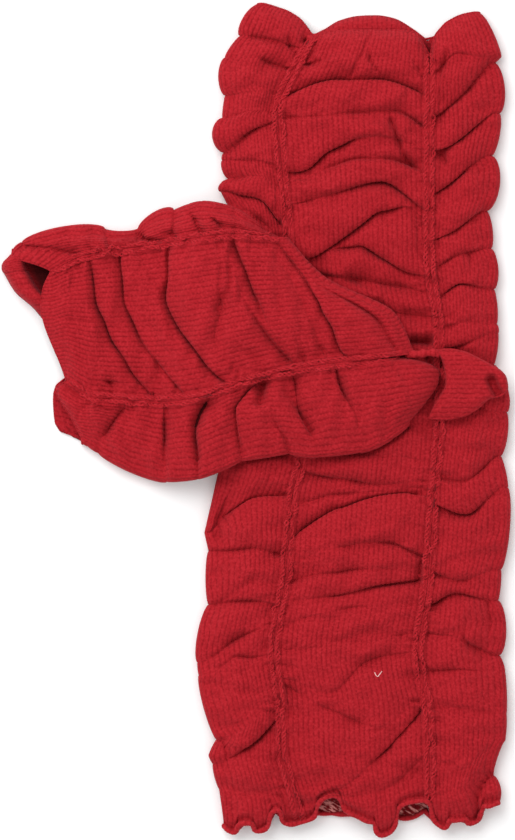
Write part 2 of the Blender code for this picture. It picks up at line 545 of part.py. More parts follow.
def make_side(name, columns, folds, seam, back_seam, cuff_back, ends, place, flip, hem=False, pressed=False):
    steps = fold_steps(folds)
    mesh, column, row = grid_mesh(name, len(columns) + len(RIM_ANGLES), len(steps) - 1)
    across, along, height = side_cloth(
        column, steps[row], columns, folds, seam, back_seam, cuff_back, ends, pressed)
    if hem:
        share = np.clip(steps[row] - (len(folds) - 2), 0.0, 1.0)
        across, along, height = add_lettuce(across, along, height, share)
    add_wall(finish_panel(name, mesh, place(across, along, height), flip))


def make_back(name, seams, cuff, end, rows, place, flip):
    # A plain wall between the two underside seams, with its ends shaped by the places given.
    columns = len(cuff) - 1
    mesh, column, row = grid_mesh(name, columns, rows)
    u = column / columns
    low = seams[0] + UNDER_SLIT / 2
    high = seams[1] - UNDER_SLIT / 2
    first = np.array(cuff)[column]
    last = np.array(end)[column]
    along = first + (last - first) * row / rows
    add_wall(finish_panel(name, mesh, place(low + (high - low) * u, along, 0.0 * u), flip))


def outline_at(outline, turn):
    # A closed smooth line through the outline's points, turn going from 0 to 1.
    count = len(outline)
    laps = range(-2, count + 3)
    along = [outline[i % count].along for i in laps]
    across = [outline[i % count].across for i in laps]
    return smooth(laps, across, turn * count), smooth(laps, along, turn * count)


def room_under_front(across, along):
    # The height left free below the crossed front's wall, taken over the wall's reach around.
    free = np.full(len(across), FRONT_CROWN)
    for step_across in (-1.0, -0.5, 0.0, 0.5, 1.0):
        for step_along in (-1.0, -0.5, 0.0, 0.5, 1.0):
            y = across + step_across * PAD_REACH
            x = along + step_along * PAD_REACH
            low = seam_across(CROSSED_UPPER_SEAM, x)
            high = seam_across(CROSSED_LOWER_SEAM, x)
            u = np.clip((y - low) / (high - low), 0.0, 1.0)
            free = np.minimum(free, front_height(
                u, y, x, CROSSED_FRONT_FOLDS, high - low, (CUFF_HEIGHT, CUFF_HEIGHT), False))
    return free - WALL - PAD_CLEARANCE


def make_pad(name, outline, height):
    # A ball whose rings follow the pad's section and whose meridians follow its outline.
    mesh = bpy.data.meshes.new(name)
    ball = bmesh.new()
    bmesh.ops.create_uvsphere(ball, u_segments=PAD_SEGMENTS, v_segments=len(PAD_RINGS) - 1, radius=1.0)
    ball.to_mesh(mesh)
    ball.free()
    flat = np.empty(len(mesh.vertices) * 3)
    mesh.vertices.foreach_get("co", flat)
    ball_x, ball_y, ball_z = flat.reshape(-1, 3).T
    turn = np.arctan2(ball_y, ball_x) / (2 * np.pi) % 1.0
    ring = np.rint(np.arccos(np.clip(-ball_z, -1, 1)) / np.pi * (len(PAD_RINGS) - 1)).astype(int)
    inward = np.array([row.inward for row in PAD_RINGS])[ring]
    rise = np.array([row.height for row in PAD_RINGS])[ring]
    edge_across, edge_along = outline_at(outline, turn)
    middle_across = np.mean([point.across for point in outline])
    middle_along = np.mean([point.along for point in outline])
    across = edge_across + (middle_across - edge_across) * inward
    along = edge_along + (middle_along - edge_along) * inward
    top = height if height else room_under_front(across, along)
    finish_panel(name, mesh, crossed_place(across, along, rise * top), True)


def build_lower():
    seams = (LOWER_LEFT_SEAM, LOWER_RIGHT_SEAM)
    ends = (CUFF_HEIGHT, CUFF_HEIGHT, CUFF_HEIGHT)
    make_front("lower_front", LOWER_FRONT_FOLDS, seams, ends[:2], lower_place, True, hem=True, pressed=True)
    make_side("lower_left_side", SIDE_COLUMNS, LOWER_LEFT_FOLDS, LOWER_LEFT_SEAM, LOWER_BACK_SEAMS[0],
              LOWER_BACK_CUFF[0], ends, lower_place, False, hem=True, pressed=True)
    make_side("lower_right_side", SIDE_COLUMNS, LOWER_RIGHT_FOLDS, LOWER_RIGHT_SEAM, LOWER_BACK_SEAMS[1],
              LOWER_BACK_CUFF[-1], ends, lower_place, True, hem=True, pressed=True)
    make_back("lower_back", LOWER_BACK_SEAMS, LOWER_BACK_CUFF, LOWER_BACK_HEM, LOWER_BACK_ROWS,
              lower_place, False)


def build_crossed():
    seams = (CROSSED_UPPER_SEAM, CROSSED_LOWER_SEAM)
    upper_ends = (MOUTH_HEIGHT, RIM_HEIGHT, CLOSED_HEIGHT)
    lower_ends = (CUFF_HEIGHT, CUFF_HEIGHT, CLOSED_HEIGHT)
    make_front("crossed_front", CROSSED_FRONT_FOLDS, seams, (MOUTH_HEIGHT, CUFF_HEIGHT),
               crossed_place, False, turned=True)
    make_side("crossed_upper_side", NARROW_SIDE_COLUMNS, CROSSED_UPPER_FOLDS, CROSSED_UPPER_SEAM,
              CROSSED_BACK_SEAMS[0], CROSSED_BACK_CUFF[0], upper_ends, crossed_place, True)
    make_side("crossed_lower_side", SIDE_COLUMNS, CROSSED_LOWER_FOLDS, CROSSED_LOWER_SEAM,
              CROSSED_BACK_SEAMS[1], CROSSED_BACK_CUFF[-1], lower_ends, crossed_place, False)
    make_back("crossed_back", CROSSED_BACK_SEAMS, CROSSED_BACK_CUFF, CROSSED_BACK_END, CROSSED_BACK_ROWS,
              crossed_place, True)
    make_pad("crossed_folded_end", FOLDED_END_OUTLINE, None)
    make_pad("crossed_hem_flap", HEM_FLAP_OUTLINE, HEM_FLAP_HEIGHT)


def build():
    remove_everything()
    build_lower()
    build_crossed()


build()
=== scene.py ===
# Pair of gathered baby leg warmers in red rib knit, laid flat with one crossed over the other.
#
# Every panel is a thin shell on a grid.  Its rows run from fold to fold, closer together beside
# each fold, and its columns run across the ribs.  Tables are in millimetres: on the lower warmer
# "along" runs down from the pair's top edge and "across" runs right from its left edge, and on
# the crossed warmer it is the other way round.
import math
import bpy
import numpy as np
from collections import namedtuple
from functools import partial
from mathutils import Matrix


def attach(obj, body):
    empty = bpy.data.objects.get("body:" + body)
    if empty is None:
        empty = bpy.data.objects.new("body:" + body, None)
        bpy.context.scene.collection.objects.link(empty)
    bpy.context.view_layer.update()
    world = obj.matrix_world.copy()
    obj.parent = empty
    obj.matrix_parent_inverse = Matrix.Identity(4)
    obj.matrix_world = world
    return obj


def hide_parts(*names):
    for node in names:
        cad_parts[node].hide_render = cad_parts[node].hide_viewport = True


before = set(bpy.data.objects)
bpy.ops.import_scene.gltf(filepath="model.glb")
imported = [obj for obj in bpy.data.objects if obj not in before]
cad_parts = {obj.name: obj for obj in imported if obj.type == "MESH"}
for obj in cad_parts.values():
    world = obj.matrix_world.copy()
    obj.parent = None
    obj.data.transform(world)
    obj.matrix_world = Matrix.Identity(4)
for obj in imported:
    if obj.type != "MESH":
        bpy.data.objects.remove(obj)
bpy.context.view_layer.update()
print("frame loaded")

# The pair's size and one pixel in millimetres, and the picture's size in pixels.
mm = 0.001
pairWidth, pairLength = 185.0, 302.0
picture = dict(width=515, height=840, pixel=0.36)

# What every panel shares, with the reach over which the inside's painted shade comes on and its share in
# the hem half.
cloth = dict(
    wall=0.9, hemWall=0.3, hemRows=12, walePitch=1.7, backColumns=57, creaseFloor=2.7,
    floorGive=0.6, seamHeight=8.8, frontCrown=11.8, frillCrown=10.6, fullFrill=18, crownPower=0.8,
    rimHeight=6.6, rimFloor=3.4, rimInset=0.95, rimShare=0.4, swellPower=0.6, endSlope=5,
    seamSlit=0.012, seamColumn=0.0008, seamFlat=0.3, seamHold=2.1, creaseHold=0.7, seamBand=2.2,
    underSlit=0.04, cornerRound=0.8, cornerReach=1.5, rimColumns=25, rimWales=6, underColumns=8,
    underWales=12, lipRound=3, lipStart=5.2, lipEnd=8, turnRadius=1.9, turnUnder=2.5, turnRows=15,
    slantLean=0.74, pressedHeight=9, pressBlend=0.25, pressSlope=1.1, climbStart=50, climbEnd=77,
    climbHeight=9.3, deepReach=5, deepHem=0.5)

# How a fold's crest hangs over it, and the small unevenness of the knit.  A size is the length of
# its waves across and along.
relief = dict(
    overhang=2.6, crestPlace=1.6, leanWidth=0.5, overhangRoom=6, bunch=0.68, frontStep=0.75,
    sideStep=0.85, sinkDepth=0.63, narrow=0.88, lineDepth=0.33, lineWidth=0.5, lineFrom=0.4,
    lineStray=0.25, sinkSpread=0.18, straySize=(16, 8), strayRoom=8, ribDepth=0.12, ribFade=0.6,
    foldFade=0.6, swingLevel=0.8, unevenSize=(22, 8), unevenHeight=0.5, puckerSize=(16, 4.6),
    puckerHeight=1.0, puckerReach=7, puckerFrom=1.6, gatherSize=(7, 3.6), gatherHeight=0.85,
    gatherReach=3.2, gatherFrom=0.7, wrinkleSize=(14, 6.5), wrinkleHeight=0.35, wrinkleFrom=1.5,
    ridgeAt=0.8, ridgeWidth=1.3, ridgeHeight=0.6, ridgeLump=0.35, lumpSize=(30, 3.4),
    tuckSize=(40, 12), tuckHeight=0.6, tuckWidth=0.12)

# A fold's places along and its sinks, from 0 to 1 deep, are spread evenly over the panel's width.
# Its own width is how far its sides reach.  Its lean says which side hangs over it: more than 0
# for the cloth before it, less than 0 for the cloth after.  A side panel's fold also has the
# outline's place there and how far the rim swells before the next fold.
Fold = namedtuple("Fold", "places sinks width lean", defaults=(2.5, 0))
SideFold = namedtuple("SideFold", "places sinks outline swell width lean", defaults=(2.5, 0))

lowerLeftSeam = [
    (12.5, 112.5), (22.5, 107.5), (40.5, 100), (54.5, 101), (84, 103.5), (137, 106.5), (165.5, 108),
    (180, 105), (205.5, 103), (235, 98.5), (255.5, 101), (267, 101), (293, 108)]
lowerRightSeam = [
    (12.5, 155), (53, 154.5), (86, 154.5), (101, 155.5), (115.5, 158), (144, 158.5), (180, 156),
    (209, 154), (236, 150.5), (257, 154), (290, 155)]
crossedUpperSeam = [
    (18.5, 97.5), (32, 91.5), (53.5, 88.5), (72.5, 85.5), (83, 84.5), (103, 85.5), (150, 84.5)]
crossedLowerSeam = [
    (24, 137), (34, 143), (59, 144.5), (71, 143), (86.5, 138), (97, 135), (115, 131.5),
    (133.5, 129.5), (155, 126.5)]
crossedSlant = (86, 99, 112.5, 126.5)

lowerFrontFolds = [Fold(*row) for row in (
    ((12.5, 11.4, 11, 10.8, 10.8, 10.8, 10.9, 11.8, 20), (0, 0)),
    ((23, 22, 21.5, 26), (0.5, 0.1, 0.05, 0.2), 2.2, 0.3),
    ((35, 29, 29, 35), (0.85, 0.8, 0.85, 1), 2.3, -0.7),
    ((42.8, 42, 41, 40, 47), (0.5, 0.4, 0.4, 0.45, 0.95), 2.2, -0.3),
    ((62.5, 60.5, 54, 50.2, 49.5, 51, 56), (0.9, 0.9, 0.95, 0.7, 0.3, 0.15, 0.15), 3, 0.7),
    ((65.5, 63.8, 60, 57.6, 56.8, 58.8, 63.2), (0.2, 0.2, 0.4, 0.6, 0.75, 0.8, 0.8), 2.5, -0.3),
    ((74, 70, 65.5, 77), (0.4, 0.4, 0.8, 0.8), 2.5, 0.5),
    ((94, 92, 87, 80.5, 75.5, 74.5, 81.5), (0.7, 0.85, 1, 1, 0.9, 0.5, 0.1), 3, 0.9),
    ((97, 95, 89.5, 88.8, 93, 97.8, 99.5), (0.2, 0.3, 0.5, 0.9, 1, 0.9, 0.7), 2.8, 0.5),
    ((99.5, 100, 102, 106.5), (0.3, 0.8, 0.9, 0.5), 4),
    ((106.5, 109.5, 112.5, 114.5), (0.3, 0.4, 0.5, 0.4), 4),
    ((119, 120.5, 123, 123.5), (0.3, 0.3, 0.6, 0.9), 3, 0.3),
    ((133, 135, 137, 138.5), (0.4, 0.4), 3),
    ((151, 150.5, 153, 155), (0.4, 0.4), 3),
    ((162.5, 162, 164, 166.5), (0.3, 0.3), 3),
    ((170.5, 172.5, 174.5, 173), (0.6, 0.7, 0.4, 0.1), 2.5, 0.3),
    ((181.5, 178, 177, 175.5), (0.5, 0.5, 0.1, 0), 2.2, 0.3),
    ((195, 184, 179, 178), (0.9, 1, 1, 0.9), 2.8, -0.9),
    ((202.5, 197.5, 195, 201.5), (0, 0.1, 0.5, 1), 2.2, 0.4),
    ((210, 206, 205, 206.5), (0.6, 0.6, 0.2, 0.1), 2.4, 0.2),
    ((216.5, 215, 211, 208.5), (0.1, 0.4, 0.85, 1), 2.4, 0.5),
    ((226, 220.5, 218, 217.5), (0.35, 0.3, 0.3, 0.25), 4, 0.2),
    ((234.5, 232.5, 230.5, 227.5), (0.15, 0.15, 0.3, 0.45), 3),
    ((242, 249.5, 237.5, 234.5), (0, 0.15, 0.5, 0.1), 3.2, 0.3),
    ((245.5, 255.5, 262, 248.5), (0.6, 0.5, 0.35, 0.1), 6, 0.2),
    ((281, 283, 272, 253), (0, 0.15, 0.6, 0.95), 4.6, 0.7),
    ((288, 287.5, 284.5, 271), (0.3, 0.1, 0.3, 0.4), 4, 0.3),
    ((294.5, 294.5), (0, 0)))]

lowerRightFolds = [SideFold(*row) for row in (
    ((20, 12.5, 10, 8, 6.8, 5.8, 5.1, 4.6, 4.3), (0, 0), 173.6, 1.1),
    ((28, 19, 20.5), (0.5, 0.4, 0), 180.6, 0, 2, 0.3),
    ((43.5, 35.5, 22.5), (0.9, 1, 0.9), 178.5, 2.7, 3, 0.6),
    ((55, 49.5, 40.5), (0.9, 1, 0.7), 180, 1.5, 3, 0.8),
    ((71.5, 63.5, 56), (0.8, 1, 0.5), 177.3, 3.8, 3, 0.6),
    ((87.5, 83, 76), (0.5, 0.6, 0.9), 175.5, 1.3, 2.5, 0.6),
    ((97.5, 92, 89.5), (0.5, 0.6, 0.7), 177, 2.1, 3, 0.4),
    ((108.5, 101.5, 104), (0.8, 0.9, 0.7), 178, 0.8, 3, 0.6),
    ((118, 116, 116.5), (0.4, 0.3, 0.1), 179, 0.5, 3, 0.2),
    ((126.5, 124, 120), (0.5, 0.6, 0.3), 179.5, 0.6, 2.5, 0.5),
    ((132, 132, 131.5), (0.4, 0.3, 0.6), 178, 2.8, 2.5, 0.3),
    ((144, 146, 148.5), (0.4, 0.4), 182.5, 1.5, 3, 0.2),
    ((172, 173.5, 164), (0.5, 0.6, 0.9), 180.5, 0.6, 2.5, -0.3),
    ((182, 184.5, 175.5), (1, 1, 0.3), 183, 2, 3, 0.7),
    ((205.5, 209, 205), (0.7, 0.5, 0.5), 180.5, 0.5, 2.5, 0.4),
    ((218, 214, 216), (0.9, 0.6, 0.5), 179.5, 2.7, 2.5, 0.5),
    ((227, 229.5, 236), (0.6, 0.5, 0.7), 180, 0.5, 3, 0.5),
    ((240.5, 241, 242), (0.4, 0.7, 0.1), 182, 0.4, 3, 0.3),
    ((254.5, 254.5, 257.5), (0.4, 0.3, 0), 182.5, 0.3, 4, 0.2),
    ((273.5, 275.5, 267), (0.2, 0.1, 0.3), 182, -0.8, 3, 0.2),
    ((285, 286, 279.5), (0, 0, 0.1), 178, 1.7, 3),
    ((294.5, 296, 288.5), (0, 0), 179.6, 0))]

lowerLeftFolds = [SideFold(*row) for row in (
    ((12.5, 6.8, 4, 2.4, 1.1), (0, 0), 92, 2.2),
    ((18, 14.5, 12.5), (0.5, 0.6, 0.5), 86.3, 0.8, 2.5, 0.3),
    ((25.5, 21.5, 20), (0.6, 0.4, 0), 81, 2.5, 2.5, 0.4),
    ((34.5, 33, 34), (0.3, 0.1, 0.5), 81, 0.3, 2.5, 0.2),
    ((39, 40, 42), (0.2, 0.1, 0.4), 80, 4, 2.5, 0.2),
    ((43.5, 46.5, 55), (0.3, 0.9, 1), 80.5, 0.5, 3, 0.7),
    ((60, 58, 57.5), (0.2, 0.5, 0.6), 80, 1.2, 2.5, 0.5),
    ((68.5, 63.5, 64), (0.4, 0.3, 0.6), 82, 2, 3, 0.2),
    ((83.5, 71, 69), (1, 1, 0.7), 79.5, 0, 3, 0.8),
    ((88.5, 80, 74), (0.5, 0.3, 0.5), 82, 0.5, 3, 0.3),
    ((104.5, 102.5, 101), (0.4, 0.4), 80, 1, 3),
    ((122.5, 122.5), (0.4, 0.4), 79, 1, 3),
    ((142, 142), (0.4, 0.4), 78.5, 1, 3),
    ((162, 164, 167.5), (0.4, 0.3, 0.3), 79, 0, 3),
    ((178, 179.5, 192), (0.8, 0.9, 1), 73.5, 0, 3.5, -0.8),
    ((199.5, 197.5, 198.5), (0.6, 0.7, 0.9), 75, 1.1, 2.5, 0.2),
    ((218, 216, 218), (0.5, 0.6, 0.9), 75, 2, 3, 0.3),
    ((223.5, 229.5, 238.5), (0.5, 0.8, 0.6), 71, 0.2, 3.5, -0.3),
    ((236, 236.5, 243), (0.4, 0.5, 0.3), 71.5, 1.5, 2.5, 0.3),
    ((252.5, 259, 266.5), (0, 0), 77.8, 0.3),
    ((256, 264, 272.2), (0, 0), 75, 0.2),
    ((258.5, 268, 275.2), (0.9, 0.95, 0.6), 76.6, 0.6, 2.4, 0.7),
    ((283, 284.5, 284), (0.5, 0.1, 0.2), 78.8, 0, 3, 0.2),
    ((294.5, 297, 295.5), (0, 0), 80.5, 0))]

crossedFrontFolds = [Fold(*row) for row in (
    ((18.5, 15.6, 14.8, 16.3, 18.8, 21.5, 24), (0, 0)),
    ((24.5, 24, 29.5, 37), (0.15, 0.1, 0.1, 0.3), 3),
    ((32, 35, 42.5, 56), (0.85, 0.85, 0.8, 0.9), 2, -0.6),
    ((43.5, 45, 53, 67.5), (0.85, 0.85, 0.7, 0.5), 2, -0.6),
    ((61.5, 60, 69, 82.5), (0.6, 0.9, 1, 1), 2.2, -0.6),
    ((79, 79.5, 78, 90), (0.2, 0.55, 0.3, 0), 3.6),
    ((80.5, 85.5, 94.5, 107), (0, 0.1, 0.7, 0.9), 2, -0.4),
    ((83, 90.5, 97, 108.5), (0.9, 1, 0.25, 0), 2, -0.6),
    ((87, 97, 104.5, 111.5), (0, 0.1, 0.2, 0.6)),
    ((94, 105.5, 112, 118.5), (0.2, 0.4, 0.35, 0.6), 4),
    ((98, 110, 118.5, 125.5), (0.4, 0.8, 1, 1), 2.4, -0.8),
    ((99.5, 112.5, 135, 143.8), (0, 0.2, 0.85, 0.85), 1.8, -0.3),
    ((101.5, 115.5, 140.8, 147.6), (0, 0)))]

crossedUpperFolds = [SideFold(*row) for row in (
    ((18.5, 16.4, 13.2, 9.4, 4.4), (0, 0), 88.9, 0.4),
    ((28.5, 18, 7.5), (0.5, 0.7, 0.2), 87, 3.2, 2.5, 0.4),
    ((40.5, 39, 37.5), (0.2, 0.3, 0.2), 82, -1, 2.5, 0.2),
    ((54.5, 52.5, 49.5), (0.5, 0.6, 0.7), 82, 3, 3, -0.6),
    ((64, 62, 62.5), (0.4, 0.5, 0.5), 75.5, 0.2, 2.5, 0.4),
    ((73, 71, 67.5), (0.7, 0.7, 0.3), 73.5, 0.3, 2.5, 0.3),
    ((81.5, 78, 72.5), (0.4, 0.6, 0.2), 72.5, 0.8, 2.5, 0.5),
    ((88.5, 87, 85), (0.4, 0.5, 0.6), 75, 0.6),
    ((100.5, 98, 94.5), (0, 0), 81.5, 0))]

crossedLowerFolds = [SideFold(*row) for row in (
    ((24, 20.4, 20.6, 22.1, 23.8, 25.4, 26.9, 28.2, 29.5), (0, 0), 160.6, 0),
    ((35, 28, 31.5), (0.5, 0.4, 0.2), 161, 0.2, 2.5, 0.2),
    ((47, 40.5, 35.5), (0.5, 0.8, 0.3), 163.2, 2.2, 2.5, 0.3),
    ((59, 59, 60), (0.5, 0.9, 0.2), 173.5, 0.4, 2.5, 0.3),
    ((75, 70.5, 71.5), (0.8, 1, 0.9), 172.5, 0.8, 3, -0.6),
    ((94.5, 85, 87), (0.9, 0.9, 1), 166, 0.3, 2.8, -0.6),
    ((96.5, 97.5, 103.8), (0.3, 0.4, 0.7), 163.3, 0.8, 2.2),
    ((105, 107.5, 115), (0.8, 0.9, 0.3), 164.6, 0.3, 4, 0.5),
    ((120, 121.8, 125.4, 128.4, 130), (0.3, 0.95, 0.9, 0.4, 0.1), 163, 1.2, 2.2, 0.4),
    ((139.5, 149.5, 141.5), (0.1, 0.1), 157.6, 0.5, 3),
    ((143.5, 155, 158.3, 158, 157, 154.9, 152.7, 150.2, 147.6), (0, 0), 152.8, 0))]

# The lettuce edge, lobe by lobe: where each starts, how far down its start reaches, how far it
# bulges past the line from its start to the next one's, and how it swings up or down.
hemLobes = [
    (76, 292, 0.5, 0), (80.3, 296, 2.2, -0.6), (85.2, 298.5, -1.9, 1), (91.3, 298, 2, -0.4),
    (96.8, 296.3, -3.8, 1.4), (101.4, 295, 2.8, -0.8), (114, 292.3, -4.4, 1.6),
    (123.1, 290.2, 1.2, 0.4), (135, 295.9, 6.2, -0.8), (142.9, 292.9, -3.3, 1.6),
    (155.3, 290.9, 4.6, -0.6), (161.6, 295, 0.6, 0.2), (167.8, 294.6, 2.4, -0.6),
    (173, 293.4, 0.5, 0.2), (174.2, 289.6, 1.6, 0.6), (182.6, 286.5, 0, 0)]
hem = dict(
    stretch=11.0, rufflePower=1.2, grooveDepth=1.7, grooveAt=1.9, grooveWidth=0.9, above=1.2,
    lowest=1.6, height=6.0, cuffHeight=4.2, curlSwing=1.6)
pieces = {}


def smooth(stations, values, at):
    # Cubic through the stations that never swings past them: each slope is the harmonic mean of
    # the chords beside it, or level where they point opposite ways.
    x, y = np.asarray(stations, float), np.asarray(values, float)
    step = np.diff(x)
    chord = np.diff(y) / step
    slope = np.zeros_like(y)
    slope[0], slope[-1] = chord[0], chord[-1]
    level = chord[:-1] * chord[1:] <= 0
    both = np.where(level, 1.0, chord[:-1] + chord[1:])
    slope[1:-1] = np.where(level, 0.0, 2 * chord[:-1] * chord[1:] / both)
    at = np.clip(at, x[0], x[-1])
    i = np.clip(np.searchsorted(x, at, side="right") - 1, 0, len(step) - 1)
    t = (at - x[i]) / step[i]
    rise, start, end = y[i + 1] - y[i], slope[i] * step[i], slope[i + 1] * step[i]
    return y[i] + t * (start + t * (3 * rise - 2 * start - end + t * (start + end - 2 * rise)))


def blend(first, last, share):
    # The straight line from the first value to the last.
    return first + (last - first) * share


def spread(values, share):
    # The smooth line through values at even shares from 0 to 1.
    return smooth(np.linspace(0, 1, len(values)), values, share)


def seamAt(seam, along):
    # How far across a seam lies: the smooth line through its points.
    return smooth(*zip(*seam), along)


def waves(x, y, xLength, yLength, seed):
    # Sum of plane waves with seeded directions, lengths near the two given and phases.
    count = 24
    draw = np.random.default_rng(seed)
    total = np.zeros(np.broadcast(x, y).shape)
    for turn, phase, stretch in draw.random((count, 3)):
        a = 2 * np.pi * turn
        scale = 2 * np.pi * (0.6 + 0.9 * stretch)
        total += np.sin(x * math.cos(a) * scale / xLength + y * math.sin(a) * scale / yLength
                        + 2 * np.pi * phase)
    return total * math.sqrt(2 / count)


def lineWaves(at, size, length, seed):
    # Seeded waves of one size and length along a line.
    return size * waves(at, 0 * at, length, length, seed)


def foldLines(folds, share):
    # One row for each fold: its place and its sink at each share of the way across.
    return (np.array([spread(getattr(fold, field), share) for fold in folds])
            for field in ("places", "sinks"))


def strayFolds(lines, sinks, share, width, seed):
    # Every fold but the two ends strays from its line and varies in depth, by seeded waves in
    # which the folds lie 10 apart.
    x, y = share * width, np.arange(len(lines))[:, None] * 10.0
    gaps = np.diff(lines, axis=0)
    room = np.zeros_like(lines)
    room[1:-1] = np.clip(np.minimum(gaps[:-1], gaps[1:]) / relief["strayRoom"], 0, 1)
    stray, deeper = (waves(x, y, *relief["straySize"], seed + more) for more in (7, 8))
    return (lines + stray * relief["lineStray"] * room,
            np.clip(sinks * (1 + relief["sinkSpread"] * deeper), 0, 1))


def foldRows(lines, rowStep):
    # Row places counted in folds: even steps, at least 5 a fold, drawn in towards every fold line
    # by a sine.
    places = []
    for i, gap in enumerate(np.mean(np.diff(lines, axis=0), axis=1)):
        count = max(5, int(round(gap / rowStep)))
        t = np.arange(count) / count
        places.append(i + t - relief["bunch"] * np.sin(2 * np.pi * t) / (2 * np.pi))
    return np.append(np.concatenate(places), len(lines) - 1.0)[:, None]


def between(values, step):
    # The straight line from fold to fold at each row's step.
    i = np.minimum(step.astype(int), len(values) - 2)[:, 0]
    return blend(values[i], values[i + 1], step - i[:, None])


def foldGrid(panel, share, rowStep):
    # The panel's fold lines and sinks at each share of its width, its rows' steps from fold to
    # fold, and where the rows run.
    lines, sinks = foldLines(panel["folds"], share)
    lines, sinks = strayFolds(lines, sinks, share, panel["wales"] * cloth["walePitch"], panel["seed"])
    step = foldRows(lines, rowStep)
    return lines, sinks, step, between(lines, step)


def foldRelief(along, lines, sinks, folds):
    # Each fold is a cusp that fades away faster on the side that hangs over it.  That side's
    # crest moves over the line by a bump (s/a)^2 exp(2 - 2s/a) of its distance s.
    left = np.ones_like(along)
    shift = np.zeros_like(along)
    for i in range(1, len(folds) - 1):
        away = along - lines[i]
        lean = folds[i].lean
        narrower = relief["leanWidth"] * abs(lean)
        wide = np.where(away * lean < 0, 1 - narrower, 1 + narrower)
        wide *= relief["narrow"] * folds[i].width
        left *= 1 - relief["sinkDepth"] * sinks[i] * np.exp(-np.abs(away) / wide)
        strong = np.clip((sinks[i] - relief["lineFrom"]) / (1 - relief["lineFrom"]), 0, 1)
        left *= 1 - relief["lineDepth"] * strong * np.exp(-np.abs(away) / relief["lineWidth"])
        if lean:
            side = np.maximum(-away * np.sign(lean), 0) / relief["crestPlace"]
            gap = lines[i] - lines[i - 1] if lean > 0 else lines[i + 1] - lines[i]
            room = np.clip(gap / relief["overhangRoom"], 0, 1)
            shift += lean * relief["overhang"] * sinks[i] * room * side ** 2 * np.exp(2 - 2 * side)
    return 1 - left, shift


def heldOff(fromSeam, flat, reach):
    # 0 at a seam and over a flat stretch beside it, rising to 1 by a Gauss curve.
    return 1 - np.exp(-(np.maximum(fromSeam - flat, 0) / reach) ** 2)


def endShare(along, lines):
    # 0 at the cloth's two ends and 1 well inside them.
    first, last = (np.exp(-gap / cloth["endSlope"]) for gap in (along - lines[0], lines[-1] - along))
    return (1 - first) * (1 - last)


def creaseCut(across, along, creases, power=1):
    # The deepest of the given creases at each point: depth exp(-(distance / width)^power).
    # A crease is its depth, its width and the places across and along that it runs through.
    cut = np.zeros(np.broadcast(across, along).shape)
    for depth, width, *places in creases:
        nearest = np.full(cut.shape, 1e3)
        corners = np.reshape(places, (-1, 2))
        for (x0, y0), (dx, dy) in zip(corners, np.diff(corners, axis=0)):
            t = np.clip(((across - x0) * dx + (along - y0) * dy) / (dx * dx + dy * dy), 0, 1)
            nearest = np.minimum(nearest, np.hypot(across - x0 - t * dx, along - y0 - t * dy))
        cut = np.maximum(cut, depth * np.exp(-(nearest / width) ** power))
    return cut


def smallRelief(across, along, fromSeam, seed, ground):
    # Broad unevenness that runs on over the seams, puckers and short gathers that fade away from
    # the seam, faint wrinkles, and a lumpy ridge beside the seam.  The middle three are the size
    # of a wave's swing about 0, so they crease where it crosses 0.
    def fade(reach):
        return np.exp(-(fromSeam / relief[reach]) ** 2)

    def swing(size, more):
        return np.abs(waves(across, along, *relief[size], seed + more)) - relief["swingLevel"]

    puckers = swing("puckerSize", 1) * (fade("puckerReach") * (1 - fade("puckerFrom")))
    gathers = swing("gatherSize", 3) * (fade("gatherReach") * (1 - fade("gatherFrom")))
    wrinkles = swing("wrinkleSize", 2) * (1 - fade("wrinkleFrom"))
    lumps = 1 + relief["ridgeLump"] * waves(across, along, *relief["lumpSize"], seed + 4)
    ridge = np.exp(-((fromSeam - relief["ridgeAt"]) / relief["ridgeWidth"]) ** 2) * lumps
    return (waves(across, along, *relief["unevenSize"], ground) * relief["unevenHeight"]
            + (puckers * relief["puckerHeight"] + gathers * relief["gatherHeight"])
            + ridge * relief["ridgeHeight"] + wrinkles * relief["wrinkleHeight"])


def foldedHeight(panel, across, along, fromSeam, lines, sinks, top, floor):
    # The top, cut down towards the floor by the folds and then by the creases, with the small
    # relief between them.  Also returns how far the crests move along.
    sunk, shift = foldRelief(along, lines, sinks, panel["folds"])
    hold = heldOff(fromSeam, cloth["seamFlat"], cloth["seamHold"])
    small = smallRelief(across, along, fromSeam, panel["seed"], panel["ground"])
    height = blend(floor, top, 1 - sunk * hold)
    height += small * endShare(along, lines) * (1 - relief["foldFade"] * sunk)
    height -= creaseCut(across, along, panel["creases"]) * heldOff(fromSeam, 0, cloth["creaseHold"])
    return np.maximum(height, floor - cloth["floorGive"]), shift * hold


def pressed(top, across, along):
    # The lower warmer stands no higher than one level under the crossed one, and rises away from
    # it.  The lower of the two is a soft one: -b log(exp(-top / b) + exp(-limit / b)).
    upper, lower = (smooth([fold.places[-1] for fold in folds], [fold.outline for fold in folds], across)
                    for folds in (crossedUpperFolds, crossedLowerFolds))
    turn = crossedFrontFolds[-1].places
    upper = np.where(across < turn[0], upper, smooth(turn, crossedSlant, across))
    outside = np.maximum(np.maximum(upper - along, along - lower), 0)
    limit = cloth["pressedHeight"] + cloth["pressSlope"] * outside
    soft = cloth["pressBlend"]
    return -soft * np.logaddexp(-top / soft, -limit / soft)


def hemEdge(across):
    # Each lobe is a rounded arch (1 - |t|^3)^(1/2) on the line between its two ends, with t from
    # -1 to 1 over it.  Returns how far down the edge reaches and how high it swings.
    starts, levels, bulges, lifts = (np.array(column) for column in zip(*hemLobes))
    at = np.clip(across, starts[0], starts[-1] - 1e-6)
    i = np.searchsorted(starts, at, side="right") - 1
    t = (at - starts[i]) / (starts[i + 1] - starts[i])
    arch = np.sqrt(1 - np.abs(2 * t - 1) ** 3)
    return blend(levels[i], levels[i + 1], t) + bulges[i] * arch, lifts[i] * arch


